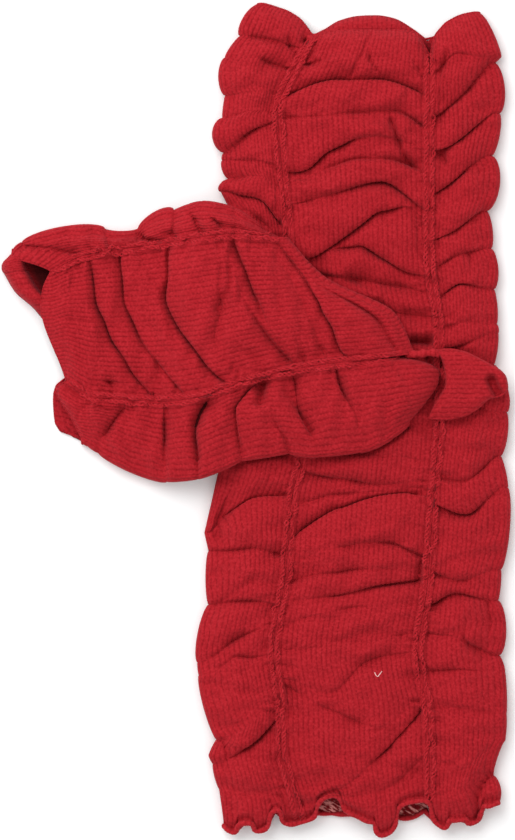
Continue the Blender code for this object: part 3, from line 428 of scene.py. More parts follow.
def addLettuce(across, along, height, last):
    # The last stretch of cloth reaches out to the wavy edge and swings with it, and dips in a
    # groove just inside the rolled bead.
    ruffle = np.clip((along - last + hem["stretch"]) / hem["stretch"], 0, 1) ** hem["rufflePower"]
    reach, lift = hemEdge(across)
    along = along + (reach - last) * ruffle
    rise = hem["height"] - hem["cuffHeight"] + hem["curlSwing"] * lift
    groove = hem["grooveDepth"] * np.exp(-((reach - along - hem["grooveAt"]) / hem["grooveWidth"]) ** 2)
    edge = np.maximum(height + rise * ruffle - groove, hem["lowest"])
    return along, np.where(height > hem["above"], edge, height)


def lowerPlace(across, along, height):
    # Across and along from the pair's top left corner, turned into x and y from its middle.
    return np.stack([across - pairWidth / 2, pairLength / 2 - along, height], axis=-1)


def crossedPlace(across, along, height):
    # The same for the crossed warmer, which climbs over the lower one by an S curve.
    share = np.clip((along - cloth["climbStart"]) / (cloth["climbEnd"] - cloth["climbStart"]), 0, 1)
    base = cloth["climbHeight"] * share * share * (3 - 2 * share)
    return np.stack([along - pairWidth / 2, pairLength / 2 - across, base + height], axis=-1)


def ribbed(points, wales, depth, turn):
    # The surface moved along its own normal by the ribs: -depth (1 - |cos(pi wale)|).
    normal = np.cross(np.gradient(points, axis=0), np.gradient(points, axis=1)) * turn
    normal /= np.maximum(np.linalg.norm(normal, axis=-1, keepdims=True), 1e-9)
    return points - normal * (depth * (1 - np.abs(np.cos(np.pi * wales))))[..., None]


def seamColumns(count, ends):
    # Even shares from 0 to 1, with the column beside a seam drawn close to it so that the wall's
    # edge doesn't shade the cloth.
    u = np.linspace(0, 1, count)
    u[1] = cloth["seamColumn"]
    if ends == 2:
        u[-2] = 1 - cloth["seamColumn"]
    return u


def frontCrown(u, along, lines, ends):
    # The seams' height and a sine over the width, brought down to the end heights.
    rise = np.sin(np.pi * np.clip(u, 0, 1)) ** cloth["crownPower"]
    crown = blend(cloth["seamHeight"], cloth["frontCrown"], rise)
    return blend(spread(ends, u), crown, endShare(along, lines))


def turnedUnder(u, across, along, height):
    # At the slanting fold the cloth goes on round a half circle and back under.
    angle = np.radians(np.append(np.linspace(0, 180, cloth["turnRows"])[1:], 180))[:, None]
    tuck = np.append(np.zeros(cloth["turnRows"] - 1), 1.0)[:, None]
    lean = cloth["slantLean"] * np.sqrt(np.sin(np.pi * np.clip(u, 0, 1)))
    out = cloth["turnRadius"] * np.sin(angle) - cloth["turnUnder"] * tuck
    return (np.vstack([across, across[-1] - lean * out]),
            np.vstack([along, along[-1] + np.sqrt(1 - lean ** 2) * out]),
            np.vstack([height, height[-1] / 2 * (1 + np.cos(angle))]))


def underTucks(across, along, share, seed):
    # Faint raised lines on the underside, where seeded waves cross 0.
    tucks = np.abs(waves(across, along, *relief["tuckSize"], seed))
    return relief["tuckHeight"] * np.exp(-tucks / relief["tuckWidth"]) * np.sin(np.pi * share)


def lipHeight(panel, along, share):
    # Where a cuff's mouth stands open, the underside's edge is a rounded lip that falls inwards.
    fromEdge = along - along[:1]
    rise = np.sqrt(1 - (1 - np.clip(fromEdge / cloth["lipRound"], 0, 1)) ** 2)
    fall = np.clip((cloth["lipEnd"] - fromEdge) / (cloth["lipEnd"] - cloth["lipStart"]), 0, 1)
    return spread(panel["lip"], share) * rise * fall * fall * (3 - 2 * fall)


def paintedInsideShade(panel, along, share, row):
    # How much painted shade the inside gets: past the distance given from the cuff, less so towards the
    # hem.
    deep = np.clip((along - along[:1] - spread(panel["deep"], share)) / cloth["deepReach"], 0, 1)
    return deep * np.where(row < 0.5, 1.0, cloth["deepHem"])


def frontPanel(panel):
    # Across from seam to seam and along from fold to fold.  The height is a crown over the
    # width, cut down to the crease floor by the folds.  The inside gets painted shade towards the seams.
    u = seamColumns(panel["wales"] * panel["perWale"] + 1, 2)
    lines, sinks, step, along = foldGrid(panel, u, relief["frontStep"])
    low = seamAt(panel["seams"][0], along) + cloth["seamSlit"] / 2
    high = seamAt(panel["seams"][1], along) - cloth["seamSlit"] / 2
    across = blend(low, high, u)
    fromSeam = (high - low) * np.minimum(u, 1 - u)
    top = frontCrown(u, along, lines, panel["ends"])
    if panel["lower"]:
        top = pressed(top, across, along)
    floor = cloth["creaseFloor"]
    height, shift = foldedHeight(panel, across, along, fromSeam, lines, sinks, top, floor)
    along = along + shift
    if panel["lower"]:
        along, height = addLettuce(across, along, height, lines[-1])
    else:
        across, along, height = turnedUnder(u, across, along, height)
    wales = np.broadcast_to(u * panel["wales"], across.shape)
    fromSeam = np.minimum(u, 1 - u) * np.ptp(across, axis=1, keepdims=True)
    # Near the seams the ribs fade, and the inside gets painted shade there.
    band = np.exp(-(fromSeam / cloth["seamBand"]) ** 4)
    depth = relief["ribDepth"] * (1 - relief["ribFade"] * band)
    return ribbed(panel["place"](across, along, height), wales, depth, panel["turn"]), wales, band


def sidePanel(panel):
    # Out from the seam over the frill, round the rim in a half ellipse, and back under to the
    # underside seam, which lies flat.  The shares are q out, angle round and under back.
    folds = panel["folds"]
    topColumns = panel["wales"] * panel["perWale"]
    rimColumns, underColumns = cloth["rimColumns"], cloth["underColumns"]
    q = np.append(seamColumns(topColumns + 1, 1), np.ones(rimColumns - 1 + underColumns))
    angle = np.radians(np.concatenate([np.zeros(topColumns), np.linspace(0, 180, rimColumns),
                                       np.full(underColumns, 180.0)]))
    under = np.append(np.zeros(topColumns + rimColumns), np.arange(1, underColumns + 1) / underColumns)
    lines, sinks, step, along = foldGrid(panel, q, relief["sideStep"])
    i = np.minimum(step.astype(int), len(folds) - 2)
    f = step - i
    rows = [(fold.outline, fold.swell, fold.places[0]) for fold in folds]
    outlines, swells, seamPlaces = np.array(rows).T
    outward = np.sign(outlines[0] - panel["seam"][0][1])
    swell = swells[i] * (4 * f * (1 - f)) ** cloth["swellPower"]
    rim = between(outlines[:, None], step) + outward * swell
    fromCorner = along[:, topColumns:topColumns + 1] - lines[0, topColumns]
    rim = rim - outward * cloth["cornerRound"] * np.exp(-fromCorner / cloth["cornerReach"])
    start = seamAt(panel["seam"], between(seamPlaces[:, None], step)) + outward * cloth["seamSlit"] / 2
    span = np.abs(rim - start)
    across = blend(start, rim, q)
    puff = (cloth["frillCrown"] - cloth["seamHeight"]) * np.minimum(span / cloth["fullFrill"], 1)
    inner = cloth["seamHeight"] + puff * np.sin(np.pi * np.minimum(q, 0.5)) ** cloth["crownPower"]
    outer = blend(cloth["rimHeight"], cloth["seamHeight"] + puff, np.cos(np.pi * (q - 0.5)))
    end = np.where(step < len(folds) / 2, spread(panel["ends"][:2], q), panel["ends"][2])
    top = blend(end, np.where(q > 0.5, outer, inner), endShare(along, lines))
    if panel["lower"]:
        top = pressed(top, across, along)
    floor = np.minimum(blend(cloth["creaseFloor"], cloth["rimFloor"], q), top)
    height, shift = foldedHeight(panel, across, along, span * q, lines, sinks, top, floor)
    inset = np.minimum(cloth["rimInset"] * (height / 2), cloth["rimShare"] * span)
    across = blend(start, rim - outward * inset, q) + outward * inset * np.sin(angle)
    share = step / (len(folds) - 1)
    along = along + shift * (1 - q ** 4)  # no overhang at the rim
    along = along + (spread(panel["cuffUnder"], under) - lines[0]) * (1 - share) * (under > 0)
    lip = lipHeight(panel, along, under)
    height = np.where(q == 1, lip + (height - lip) / 2 * (1 + np.cos(angle)), height)
    backSeam = panel["backSeam"] + outward * cloth["underSlit"] / 2
    across = blend(across, backSeam, under)
    if panel["lower"]:
        along, height = addLettuce(across, along, height, lines[-1])
    height += np.where(under > 0, underTucks(across, along, under, panel["seed"] + 5), 0)
    rimWales = np.clip(np.degrees(angle) / 180, 0, 1) * cloth["rimWales"]
    wales = np.broadcast_to(q * panel["wales"] + rimWales + under * cloth["underWales"], across.shape)
    band = np.exp(-(span * q / cloth["seamBand"]) ** 4)
    flat = np.clip(under * 4, 0, 1)  # the ribs end a quarter of the way back
    depth = relief["ribDepth"] * (1 - relief["ribFade"] * band) * (1 - flat)
    points = ribbed(panel["place"](across, along, height), wales, depth, panel["turn"])
    points[..., 2] = np.maximum(points[..., 2], 0)
    # The third part is how much painted shade the inside gets.
    return points, wales, paintedInsideShade(panel, along, under, share)


def backPanel(panel):
    # A plain wall between the two underside seams, with its ends shaped by the places given.
    u, row = np.linspace(0, 1, cloth["backColumns"]), np.linspace(0, 1, panel["rows"])[:, None]
    low, high = panel["seams"][0] + cloth["underSlit"] / 2, panel["seams"][1] - cloth["underSlit"] / 2
    along = blend(spread(panel["cuff"], u), spread(panel["end"], u), row)
    across = np.broadcast_to(blend(low, high, u), along.shape)
    height = underTucks(across, along, u, panel["seed"]) + lipHeight(panel, along, u)
    wales = np.broadcast_to(u * panel["wales"], across.shape)
    # The third part is how much painted shade the inside gets.
    return panel["place"](across, along, height), wales, paintedInsideShade(panel, along, u, row)


def addObject(name, data):
    # A new object at the origin, in the scene.
    thing = bpy.data.objects.new(name, data)
    bpy.context.scene.collection.objects.link(thing)
    return thing


def gridMesh(name, grids, material):
    # Quads between neighbouring rows and columns of each grid, wound so that they face outwards.
    # A grid is points, wales, how much painted shade its inside gets, turn, and whether its
    # columns close into a ring.  The mesh keeps the wale, the length down the column and the painted
    # shade as clothPlace.
    corners, faces, places = [], [], []
    for points, wales, paintedShadeAmount, turn, closed in grids:
        shape = points.shape[:2]
        index = np.arange(shape[0] * shape[1]).reshape(shape) + sum(len(c) for c in corners)
        if closed:
            index = np.hstack([index, index[:, :1]])
        a, b, c, d = index[:-1, :-1], index[1:, :-1], index[1:, 1:], index[:-1, 1:]
        order = (a, b, c, d) if turn > 0 else (a, d, c, b)
        steps = np.linalg.norm(np.diff(points, axis=0, prepend=points[:1]), axis=-1)
        place = [np.broadcast_to(part, shape) for part in (wales, np.cumsum(steps, axis=0), paintedShadeAmount)]
        corners.append(points.reshape(-1, 3))
        faces.append(np.stack(order, axis=-1).reshape(-1, 4))
        places.append(np.stack(place, axis=-1).reshape(-1, 3))
    mesh = bpy.data.meshes.new(name)
    mesh.from_pydata(np.concatenate(corners) * mm, [], np.concatenate(faces))
    knit = mesh.attributes.new("clothPlace", "FLOAT_VECTOR", "POINT")
    knit.data.foreach_set("vector", np.concatenate(places).astype(np.float32).ravel())
    mesh.shade_smooth()
    mesh.materials.append(material)
    piece = addObject(name, mesh)
    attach(piece, "root")
    pieces[name] = piece
    return piece


def addWall(piece, inside, rows, columns, hemRows):
    # The wall is thinner beside the hem, where the edge rolls in tight curves.
    wall = piece.modifiers.new("cloth wall", "SOLIDIFY")
    wall.thickness = cloth["wall"] * mm
    wall.offset = -1.0
    share = piece.vertex_groups.new(name="wallShare")
    body = (rows - hemRows) * columns
    share.add(range(body), 1.0, "REPLACE")
    share.add(range(body, rows * columns), cloth["hemWall"], "REPLACE")
    wall.vertex_group = share.name
    piece.data.materials.append(inside)
    wall.material_offset = 1


# What the knit looks like, with painted shade in the rib grooves.  Inside it gets painted shade
# past the cuff, and pale yarn shows at the hem.
knitLook = dict(
    colour=(0.35, 0.0086, 0.0148, 1.0), paintedGrooveShade=(0.215, 0.0028, 0.0066, 1.0),
    fuzz=(0.46, 0.023, 0.033, 1.0), roughness=0.92, sheen=0.1, bump=0.45)
yarnLook = dict(
    colour=(0.385, 0.011, 0.018, 1.0), paintedGrooveShade=(0.26, 0.004, 0.008, 1.0),
    fuzz=(0.5, 0.03, 0.042, 1.0), roughness=0.9, sheen=0.12, bump=0.4)
insideLook = dict(
    deep=(0.05, 0.0009, 0.0018, 1.0), pale=(0.76, 0.27, 0.25, 1.0), paleFromTo=(-0.1315, -0.1345),
    streak=1600.0, streakStretch=(1.0, 4.0, 1.0), streakTurn=1.05, streakFromTo=(0.47, 0.62))
threadLook = dict(
    colour=(0.8, 0.5, 0.47, 1.0), paintedGrooveShade=(0.6, 0.25, 0.24, 1.0), fuzz=(0.9, 0.7, 0.68, 1.0),
    roughness=0.8, sheen=0.1, bump=0.3)
sheenTint, specular, bumpHeight = (1.0, 0.25, 0.3, 1.0), 0.15, 0.3 * mm
knitPattern = dict(
    wanderScale=220.0, waleWander=0.5, stitchWander=9.0, patchScale=70.0, patchFrom=0.3,
    patchGain=2.4, patchLeast=0.55, fuzzScale=1150.0, fuzzDetail=4.0, stitchPitch=1.3,
    stitchSlant=1.4, groovePower=2.0, grooveDark=1.25, stitchDark=0.3, fuzzDark=2.0, fuzzLight=0.8,
    ribRise=0.8, stitchRise=0.3)


def setInputs(tree, node, inputs):
    # Each input, by its name or number, gets a link from another node's socket, or a value.
    for key, value in inputs.items():
        if isinstance(value, bpy.types.NodeSocket):
            tree.links.new(value, node.inputs[key])
        else:
            node.inputs[key].default_value = value


def addNode(tree, kind, inputs, **settings):
    # One shader node with its own settings and its inputs.
    node = tree.nodes.new("ShaderNode" + kind)
    for name, value in settings.items():
        setattr(node, name, value)
    setInputs(tree, node, inputs)
    return node


def sums(tree, operation, *values):
    return addNode(tree, "Math", dict(enumerate(values)), operation=operation).outputs[0]


def noise(tree, place, scale, detail=2.0):
    return addNode(tree, "TexNoise", {"Vector": place, "Scale": scale, "Detail": detail}).outputs["Fac"]


def ramp(tree, value, start, end):
    return addNode(tree, "MapRange", {"Value": value, "From Min": start, "From Max": end}).outputs[0]


def mixed(tree, share, first, second):
    return addNode(tree, "Mix", {0: share, 6: first, 7: second}, data_type="RGBA").outputs[2]


def makeKnitGroup(look):
    # Ribs by |cos(pi wale)|, stitches by |sin| along them, and fuzz by two noises.  The rib grooves
    # and the gaps between stitches get painted shade.
    group = bpy.data.node_groups.new("ribKnit", "ShaderNodeTree")
    for name, kind, way in (
            ("Cloth Place", "Vector", "INPUT"), ("Base", "Color", "INPUT"), ("Painted Groove Shade", "Color", "INPUT"),
            ("Fuzz", "Color", "INPUT"), ("Color", "Color", "OUTPUT"), ("Height", "Float", "OUTPUT")):
        group.interface.new_socket(name, in_out=way, socket_type="NodeSocket" + kind)
    source, sink = group.nodes.new("NodeGroupInput").outputs, group.nodes.new("NodeGroupOutput")
    plus, less, times, power, most, least, size, sine, cosine = (partial(sums, group, kind) for kind in (
        "ADD", "SUBTRACT", "MULTIPLY", "POWER", "MAXIMUM", "MINIMUM", "ABSOLUTE", "SINE", "COSINE"))
    where = addNode(group, "SeparateXYZ", {0: source["Cloth Place"]}).outputs
    place = addNode(group, "TexCoord", {}).outputs["Object"]
    wander = noise(group, place, look["wanderScale"])
    patch = times(less(noise(group, place, look["patchScale"]), look["patchFrom"]), look["patchGain"])
    fuzz = noise(group, place, look["fuzzScale"], look["fuzzDetail"])
    wale = plus(where[0], times(less(wander, 0.5), look["waleWander"]))
    rib = size(cosine(times(wale, math.pi)))
    slant = plus(times(where[1], math.pi / look["stitchPitch"]), times(rib, look["stitchSlant"]))
    stitch = size(sine(plus(slant, times(wander, look["stitchWander"]))))
    # Painted shade: a darker colour in the rib grooves, stronger in noise patches, and between the
    # stitches.
    groove = times(power(less(1.0, rib), look["groovePower"]), most(patch, look["patchLeast"]))
    paintedShadeAmount = plus(times(groove, look["grooveDark"]), times(less(1.0, stitch), look["stitchDark"]))
    speck = times(less(fuzz, 0.5), look["fuzzDark"])
    shade = most(least(less(paintedShadeAmount, speck), 1.0), 0.0)
    light = most(least(times(speck, look["fuzzLight"]), 1.0), 0.0)
    colour = mixed(group, light, mixed(group, shade, source["Base"], source["Painted Groove Shade"]), source["Fuzz"])
    bumps = plus(times(rib, look["ribRise"]), plus(times(stitch, look["stitchRise"]), fuzz))
    setInputs(group, sink, {"Color": colour, "Height": bumps})
    return group


def insideColour(tree, colour, place, inside):
    # The knit's colour sinks towards the painted shade colour by the third part of its place, and
    # pale slanting streaks of stretched noise come up down the Y axis.
    objectPlace = addNode(tree, "TexCoord", {}).outputs["Object"]
    # Painted shade: the inside's colour darkens towards a near black red.
    withPaintedShade = mixed(tree, addNode(tree, "SeparateXYZ", {0: place}).outputs[2], colour, inside["deep"])
    slanted = addNode(tree, "Mapping", {
        "Vector": objectPlace, "Scale": inside["streakStretch"],
        "Rotation": (0.0, 0.0, inside["streakTurn"])}, vector_type="TEXTURE").outputs["Vector"]
    down = addNode(tree, "SeparateXYZ", {0: objectPlace}).outputs["Y"]
    share = sums(tree, "MULTIPLY", ramp(tree, down, *inside["paleFromTo"]),
                 ramp(tree, noise(tree, slanted, inside["streak"]), *inside["streakFromTo"]))
    return mixed(tree, share, withPaintedShade, inside["pale"])


def knitMaterial(name, look, inside=None):
    # The knit group in a Principled shader.
    material = bpy.data.materials.new(name)
    material.use_nodes = True
    tree = material.node_tree
    place = addNode(tree, "Attribute", {}, attribute_name="clothPlace").outputs["Vector"]
    knit = addNode(tree, "Group", {
        "Cloth Place": place, "Base": look["colour"], "Painted Groove Shade": look["paintedGrooveShade"], "Fuzz": look["fuzz"]},
        node_tree=ribKnit)
    colour = knit.outputs["Color"]
    if inside:
        colour = insideColour(tree, colour, place, inside)
    bump = addNode(tree, "Bump", {
        "Strength": look["bump"], "Distance": bumpHeight, "Height": knit.outputs["Height"]})
    setInputs(tree, tree.nodes["Principled BSDF"], {
        "Base Color": colour, "Normal": bump.outputs["Normal"], "Roughness": look["roughness"],
        "Sheen Weight": look["sheen"], "Sheen Tint": sheenTint, "Specular IOR Level": specular})
    return material


ribKnit = makeKnitGroup(knitPattern)
redKnit = knitMaterial("redRibKnit", knitLook)
stitchYarn = knitMaterial("redStitchYarn", yarnLook)
hemYarn = knitMaterial("redHemYarn", yarnLook)
insideKnitPaintedShade = knitMaterial("insideKnitPaintedShade", knitLook, insideLook)
paleThread = knitMaterial("paleThread", threadLook)
print("materials made")

# The lower warmer's panels.  A panel's ends are its end heights from seam to seam, and a side's are
# at the cuff's seam, the cuff's rim and the far end.  The places cuffUnder, cuff and end, the lip's
# height and where the inside's painted shade starts are spread evenly over the underside.
lowerWarmer = dict(lower=True, place=lowerPlace, ground=11, ends=(4.2, 4.2, 4.2), lip=(0, 0))
lowerFront = dict(
    lowerWarmer, name="lowerFrontCloth", replaces="lower_front", folds=lowerFrontFolds, wales=29,
    perWale=4, seams=(lowerLeftSeam, lowerRightSeam), ends=(4.2, 4.2), turn=1, seed=11, creases=[
        (2.2, 0.9, 110.5, 23, 117.7, 20.9), (1.6, 0.7, 133.6, 12.2, 129.6, 20.5, 126, 27.4),
        (1.8, 0.6, 132.8, 18.4, 133.4, 22, 136.8, 26.3), (1.8, 0.9, 149, 22, 152.3, 27.4),
        (3, 1, 151.5, 202.7, 150.8, 208.4), (2.6, 1, 105.8, 282.6, 108.4, 289.1),
        (2, 0.8, 113.8, 14.8, 112.7, 18.4, 110.2, 21.6), (6, 1.2, 149.5, 122.3, 154.6, 122.8),
        (5, 1, 153.8, 129, 155.6, 131), (3.4, 1.8, 126, 100, 134.5, 103.8),
        (2, 4.5, 139, 107.5, 151, 116), (1.4, 1.6, 144, 286.2, 153, 273.6),
        (4.2, 0.9, 140.8, 43.6, 142.5, 47.8, 145.5, 55.8, 148.4, 59.8)])
lowerLeft = dict(
    lowerWarmer, name="lowerLeftRuffle", replaces="lower_left_side", folds=lowerLeftFolds, wales=14,
    perWale=5, seam=lowerLeftSeam, backSeam=104, cuffUnder=(0.8, 13), deep=(8, 8, 8, 4, 0), turn=-1,
    seed=23, creases=[
        (1.8, 0.9, 88.6, 13, 95.8, 14.8, 101.2, 17.3),
        (2.4, 0.9, 92.9, 20.9, 99, 23.8, 104.4, 25.2),
        (2.4, 0.8, 103, 13.3, 103.7, 16.6, 107.6, 20.5), (6, 1.1, 109.9, 14.4, 110.6, 16.2),
        (1.8, 0.8, 77.6, 266.8, 79.4, 272), (1.2, 1.6, 91.8, 60.5, 99, 66.2),
        (1.2, 1.4, 77.4, 216, 88.2, 208.8), (4, 2.4, 79.5, 180.5, 77.6, 187, 76.8, 193),
        (1.8, 0.9, 94.3, 289.8, 100.8, 286.9), (1.1, 1.3, 102.3, 289, 103.9, 293.4)])
lowerRight = dict(
    lowerWarmer, name="lowerRightRuffle", replaces="lower_right_side", folds=lowerRightFolds,
    wales=14, perWale=5, seam=lowerRightSeam, backSeam=154, cuffUnder=(4, 14.5),
    deep=(8, 8, 8, 4, 0), turn=1, seed=31, creases=[
        (2.4, 0.9, 162, 18.7, 158.8, 27), (3.6, 1.6, 159.8, 55.5, 161.5, 58.5),
        (5, 1, 156.8, 129.5, 158.6, 131.5), (2.4, 1.4, 170.8, 91.5, 172.5, 95),
        (1.6, 0.9, 175, 61.9, 177.8, 59.8), (2, 0.9, 169.2, 228.6, 171, 232.2, 176.4, 236.2),
        (2.2, 1, 178, 217, 179, 227),
        (4, 1, 179.3, 277.4, 175.8, 282.5, 173.6, 286.5, 173.4, 292.5),
        (3, 0.9, 156.6, 175, 156.6, 182)])
lowerBack = dict(
    lowerWarmer, name="lowerBackCloth", replaces="lower_back", wales=29, rows=110, seams=(104, 154),
    cuff=(13, 13, 10.8, 7.4, 5.9, 5.6, 6.5, 9.8, 14.5),
    end=(292.4, 292.6, 293.2, 293.4, 293.6, 294.2, 294.8, 294.8, 291.5),
    lip=(0, 0.8, 1.8, 2, 1.8, 0.8, 0), deep=(0, 6, 8, 8, 8, 6, 0), turn=-1, seed=41)

# The crossed warmer's panels.
crossedWarmer = dict(lower=False, place=crossedPlace, ground=53, lip=(0, 0))
crossedFront = dict(
    crossedWarmer, name="crossedFrontCloth", replaces="crossed_front", folds=crossedFrontFolds,
    wales=30, perWale=5, seams=(crossedUpperSeam, crossedLowerSeam), ends=(8.2, 4.2), turn=-1,
    seed=53, creases=[
        (1.8, 0.8, 126, 90, 133.9, 96.5), (1.8, 0.8, 127.8, 108, 132.1, 110.9),
        (1.8, 0.9, 124.9, 115.2, 129.2, 119.9), (2.4, 1.6, 96.8, 82.8, 103, 82.8, 111.6, 78.1),
        (6, 0.8, 137.6, 39.4, 138.4, 40.6), (0.9, 0.7, 114.5, 21.6, 115.9, 34.2),
        (1, 1.2, 95.4, 27, 104.4, 25.2)])
crossedUpper = dict(
    crossedWarmer, name="crossedUpperRuffle", replaces="crossed_upper_side",
    folds=crossedUpperFolds, wales=8, perWale=6, seam=crossedUpperSeam, backSeam=98,
    cuffUnder=(4, 2.3, 1.2, 1.2, 2), lip=(0, 5.5, 6.6, 7), deep=(5.5, 5.5), ends=(8.2, 6.8, 2.6),
    turn=1, seed=61, creases=[
        (2.4, 0.9, 86.4, 7.6, 87.1, 17.6, 89.6, 23.8, 91.4, 28.4), (3, 1.2, 84.6, 51.5, 86.4, 57.6),
        (1.8, 0.9, 82.1, 59.4, 85.7, 64.1), (2.2, 0.9, 77.4, 70.6, 83.9, 72.7),
        (2, 0.9, 76.3, 74.2, 80.3, 79.9)])
crossedLower = dict(
    crossedWarmer, name="crossedLowerRuffle", replaces="crossed_lower_side",
    folds=crossedLowerFolds, wales=14, perWale=5, seam=crossedLowerSeam, backSeam=136,
    cuffUnder=(29.5, 20.6, 19.7, 19.4, 19.3, 19.6, 24.6), deep=(8, 8), ends=(4.2, 4.2, 2.6),
    turn=-1, seed=71, creases=[
        (7.5, 1.9, 146, 75.2, 150, 73.2, 153.5, 71.8), (5, 1.1, 153.5, 71.8, 158, 71.2, 167, 71.8),
        (6.5, 1.4, 138.5, 95.6, 142.5, 94, 146.5, 93.2),
        (3.2, 1.5, 142.5, 103.8, 147, 105.6, 152, 109, 157, 112),
        (2.2, 1, 135, 19.8, 142.2, 27, 143.3, 36), (1.8, 0.9, 146.9, 36, 149.8, 41.4),
        (0.8, 3, 158.4, 36, 162, 57.6)])
crossedBack = dict(
    crossedWarmer, name="crossedBackCloth", replaces="crossed_back", wales=22, rows=130,
    seams=(98, 136), cuff=(2, 5.8, 12.8, 17.4, 20.4, 22.8, 24.6), end=(97, 97),
    lip=(7, 7.4, 7.2, 5.6, 2, 0, 0, 0, 0, 0, 0), deep=(5.5, 5.5, 5, 5, 8), turn=1, seed=83)

for panel, shape in ((lowerFront, frontPanel), (lowerLeft, sidePanel), (lowerRight, sidePanel),
                     (lowerBack, backPanel), (crossedFront, frontPanel), (crossedUpper, sidePanel),
                     (crossedLower, sidePanel), (crossedBack, backPanel)):
    # The third part is how much painted shade each panel's inside gets.
    points, wales, paintedShadeAmount = shape(panel)
    panel["points"] = points
    piece = gridMesh(panel["name"], [(points, wales, paintedShadeAmount, panel["turn"], False)], redKnit)
    hemRows = cloth["hemRows"] if panel["lower"] and shape is not backPanel else 0
    addWall(piece, insideKnitPaintedShade, *points.shape[:2], hemRows)
    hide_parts(panel["replaces"])
    print(panel["name"], points.shape)

# The crossed warmer's folded end and the ruffled end that shows past it.  A pad's rings run from
# the middle of its underside to the middle of its top, each with how far in it lies from the
# outline and how high.
pads = dict(
    around=160, rings=64, poleReach=0.995, wallRoom=2.1, near=(-3, -1.5, 0, 1.5, 3),
    ends=(4.2, 4.2), lowest=0.9,
    inward=(1, 0.45, 0.06, 0, 0, 0.08, 0.02, 0.05, 0.2, 0.4, 0.6, 0.8, 1),
    rise=(0, 0, 0, 0.16, 0.36, 0.46, 0.56, 0.8, 0.96, 1, 1, 1, 1))
foldedEnd = dict(
    name="crossedFoldedEnd", replaces="crossed_folded_end", height=None, creases=[],
    ledge=(0,) * 12, outline=[
        (97.6, 95), (102, 96.5), (112, 105.5), (124, 112.5), (133, 116.5), (137.5, 121.5),
        (136, 125.5), (126, 128), (112, 129.5), (99, 131), (97.6, 122), (97.6, 108)])
hemFlap = dict(
    name="crossedHemFlap", replaces="crossed_hem_flap", height=5.6,
    creases=[(7.5, 1.5, 136.9, 176.8, 139.6, 178, 141.4, 179.2)],
    ledge=(0, 0, 0, 0, 0, 0, 0, 0, 0.4, 1.4, 3.2, 4.4, 4.2, 1.5, 0, 0), outline=[
        (157, 126), (161.5, 125.4), (166.5, 126.2), (174.5, 129.9), (180.6, 133.6), (182.3, 135.9),
        (182.9, 139.5), (181, 142.4), (176.2, 143.8), (172, 147.4), (166, 150.4), (159.5, 151.4),
        (154, 150.6), (156.4, 145.2), (160.2, 138), (159.4, 131)])


def roomUnderFront(across, along):
    # The height left free below the crossed front's wall, the least over the wall's reach.
    free = np.full(across.shape, cloth["frontCrown"])
    for stepAcross in pads["near"]:
        for stepAlong in pads["near"]:
            y, x = across + stepAcross, along + stepAlong
            low, high = seamAt(crossedUpperSeam, x), seamAt(crossedLowerSeam, x)
            u = np.clip((y - low) / (high - low), 0, 1)
            lines, sinks = foldLines(crossedFrontFolds, u)
            top = frontCrown(u, x, lines, pads["ends"])
            sunk = foldRelief(x, lines, sinks, crossedFrontFolds)[0]
            free = np.minimum(free, blend(cloth["creaseFloor"], top, 1 - sunk))
    return free - pads["wallRoom"]


def padSurface(pad):
    # A closed form whose rings follow a section and whose meridians follow an outline.  A ledge
    # pushes its upper half inwards, and creases cut only its top.
    count = len(pad["outline"])
    outline = np.array(pad["outline"] * 3)
    laps = np.arange(3 * count) - count
    turn = np.linspace(0, count, pads["around"], endpoint=False)
    edgeAlong, edgeAcross = smooth(laps, outline[:, 0], turn), smooth(laps, outline[:, 1], turn)
    ring = np.linspace(0, 1, pads["rings"])[:, None]
    inward, rise = spread(pads["inward"], ring) * pads["poleReach"], spread(pads["rise"], ring)
    middleAlong, middleAcross = np.mean(outline[:, 0]), np.mean(outline[:, 1])
    ledge = smooth(laps, pad["ledge"] * 3, turn) * np.clip((ring - 0.5) * 8, 0, 1) * (1 - inward)
    inward = inward + ledge / np.hypot(middleAlong - edgeAlong, middleAcross - edgeAcross)
    along, across = blend(edgeAlong, middleAlong, inward), blend(edgeAcross, middleAcross, inward)
    top = rise * (pad["height"] if pad["height"] else roomUnderFront(across, along))
    cut = creaseCut(across, along, pad["creases"], 2) * np.clip(4 * rise - 2.4, 0, 1)
    return crossedPlace(across, along, np.maximum(top - cut, np.minimum(top, pads["lowest"])))


for pad in (foldedEnd, hemFlap):
    points = padSurface(pad)
    wales = -points[..., 1] / cloth["walePitch"]
    piece = gridMesh(pad["name"], [(points, wales, 0.0, 1, True)], redKnit)
    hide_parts(pad["replaces"])
print("pads made")


def lineOnCloth(points, distance):
    # The line on a grid at one distance from its first column, row by row.
    lengths = np.cumsum(np.linalg.norm(np.diff(points, axis=1, prepend=points[:, :1]), axis=-1), axis=1)
    i = np.clip((lengths < distance).sum(axis=1), 1, points.shape[1] - 1)
    row = np.arange(len(points))
    t = (distance - lengths[row, i - 1]) / np.maximum(lengths[row, i] - lengths[row, i - 1], 1e-6)
    return blend(points[row, i - 1], points[row, i], np.clip(t, 0, 1)[:, None])


def evenPath(path, step, soften):
    # The same line with points at even steps along it, softened by a running mean.
    length = np.append(0, np.cumsum(np.linalg.norm(np.diff(path, axis=0), axis=1)))
    at = np.linspace(0, length[-1], int(length[-1] / step))
    even = np.stack([np.interp(at, length, path[:, k]) for k in range(3)], axis=1)
    for _ in range(soften):
        even[1:-1] = (even[:-2] + 2 * even[1:-1] + even[2:]) / 4
    return even, at


def pathFrame(path):
    # The level direction across a path at each point, and the one square to it and the path.
    along = np.gradient(path, axis=0)
    along /= np.linalg.norm(along, axis=1, keepdims=True)
    side = np.cross(along, (0.0, 0.0, 1.0))
    side /= np.maximum(np.linalg.norm(side, axis=1, keepdims=True), 1e-6)
    return side, np.cross(side, along)


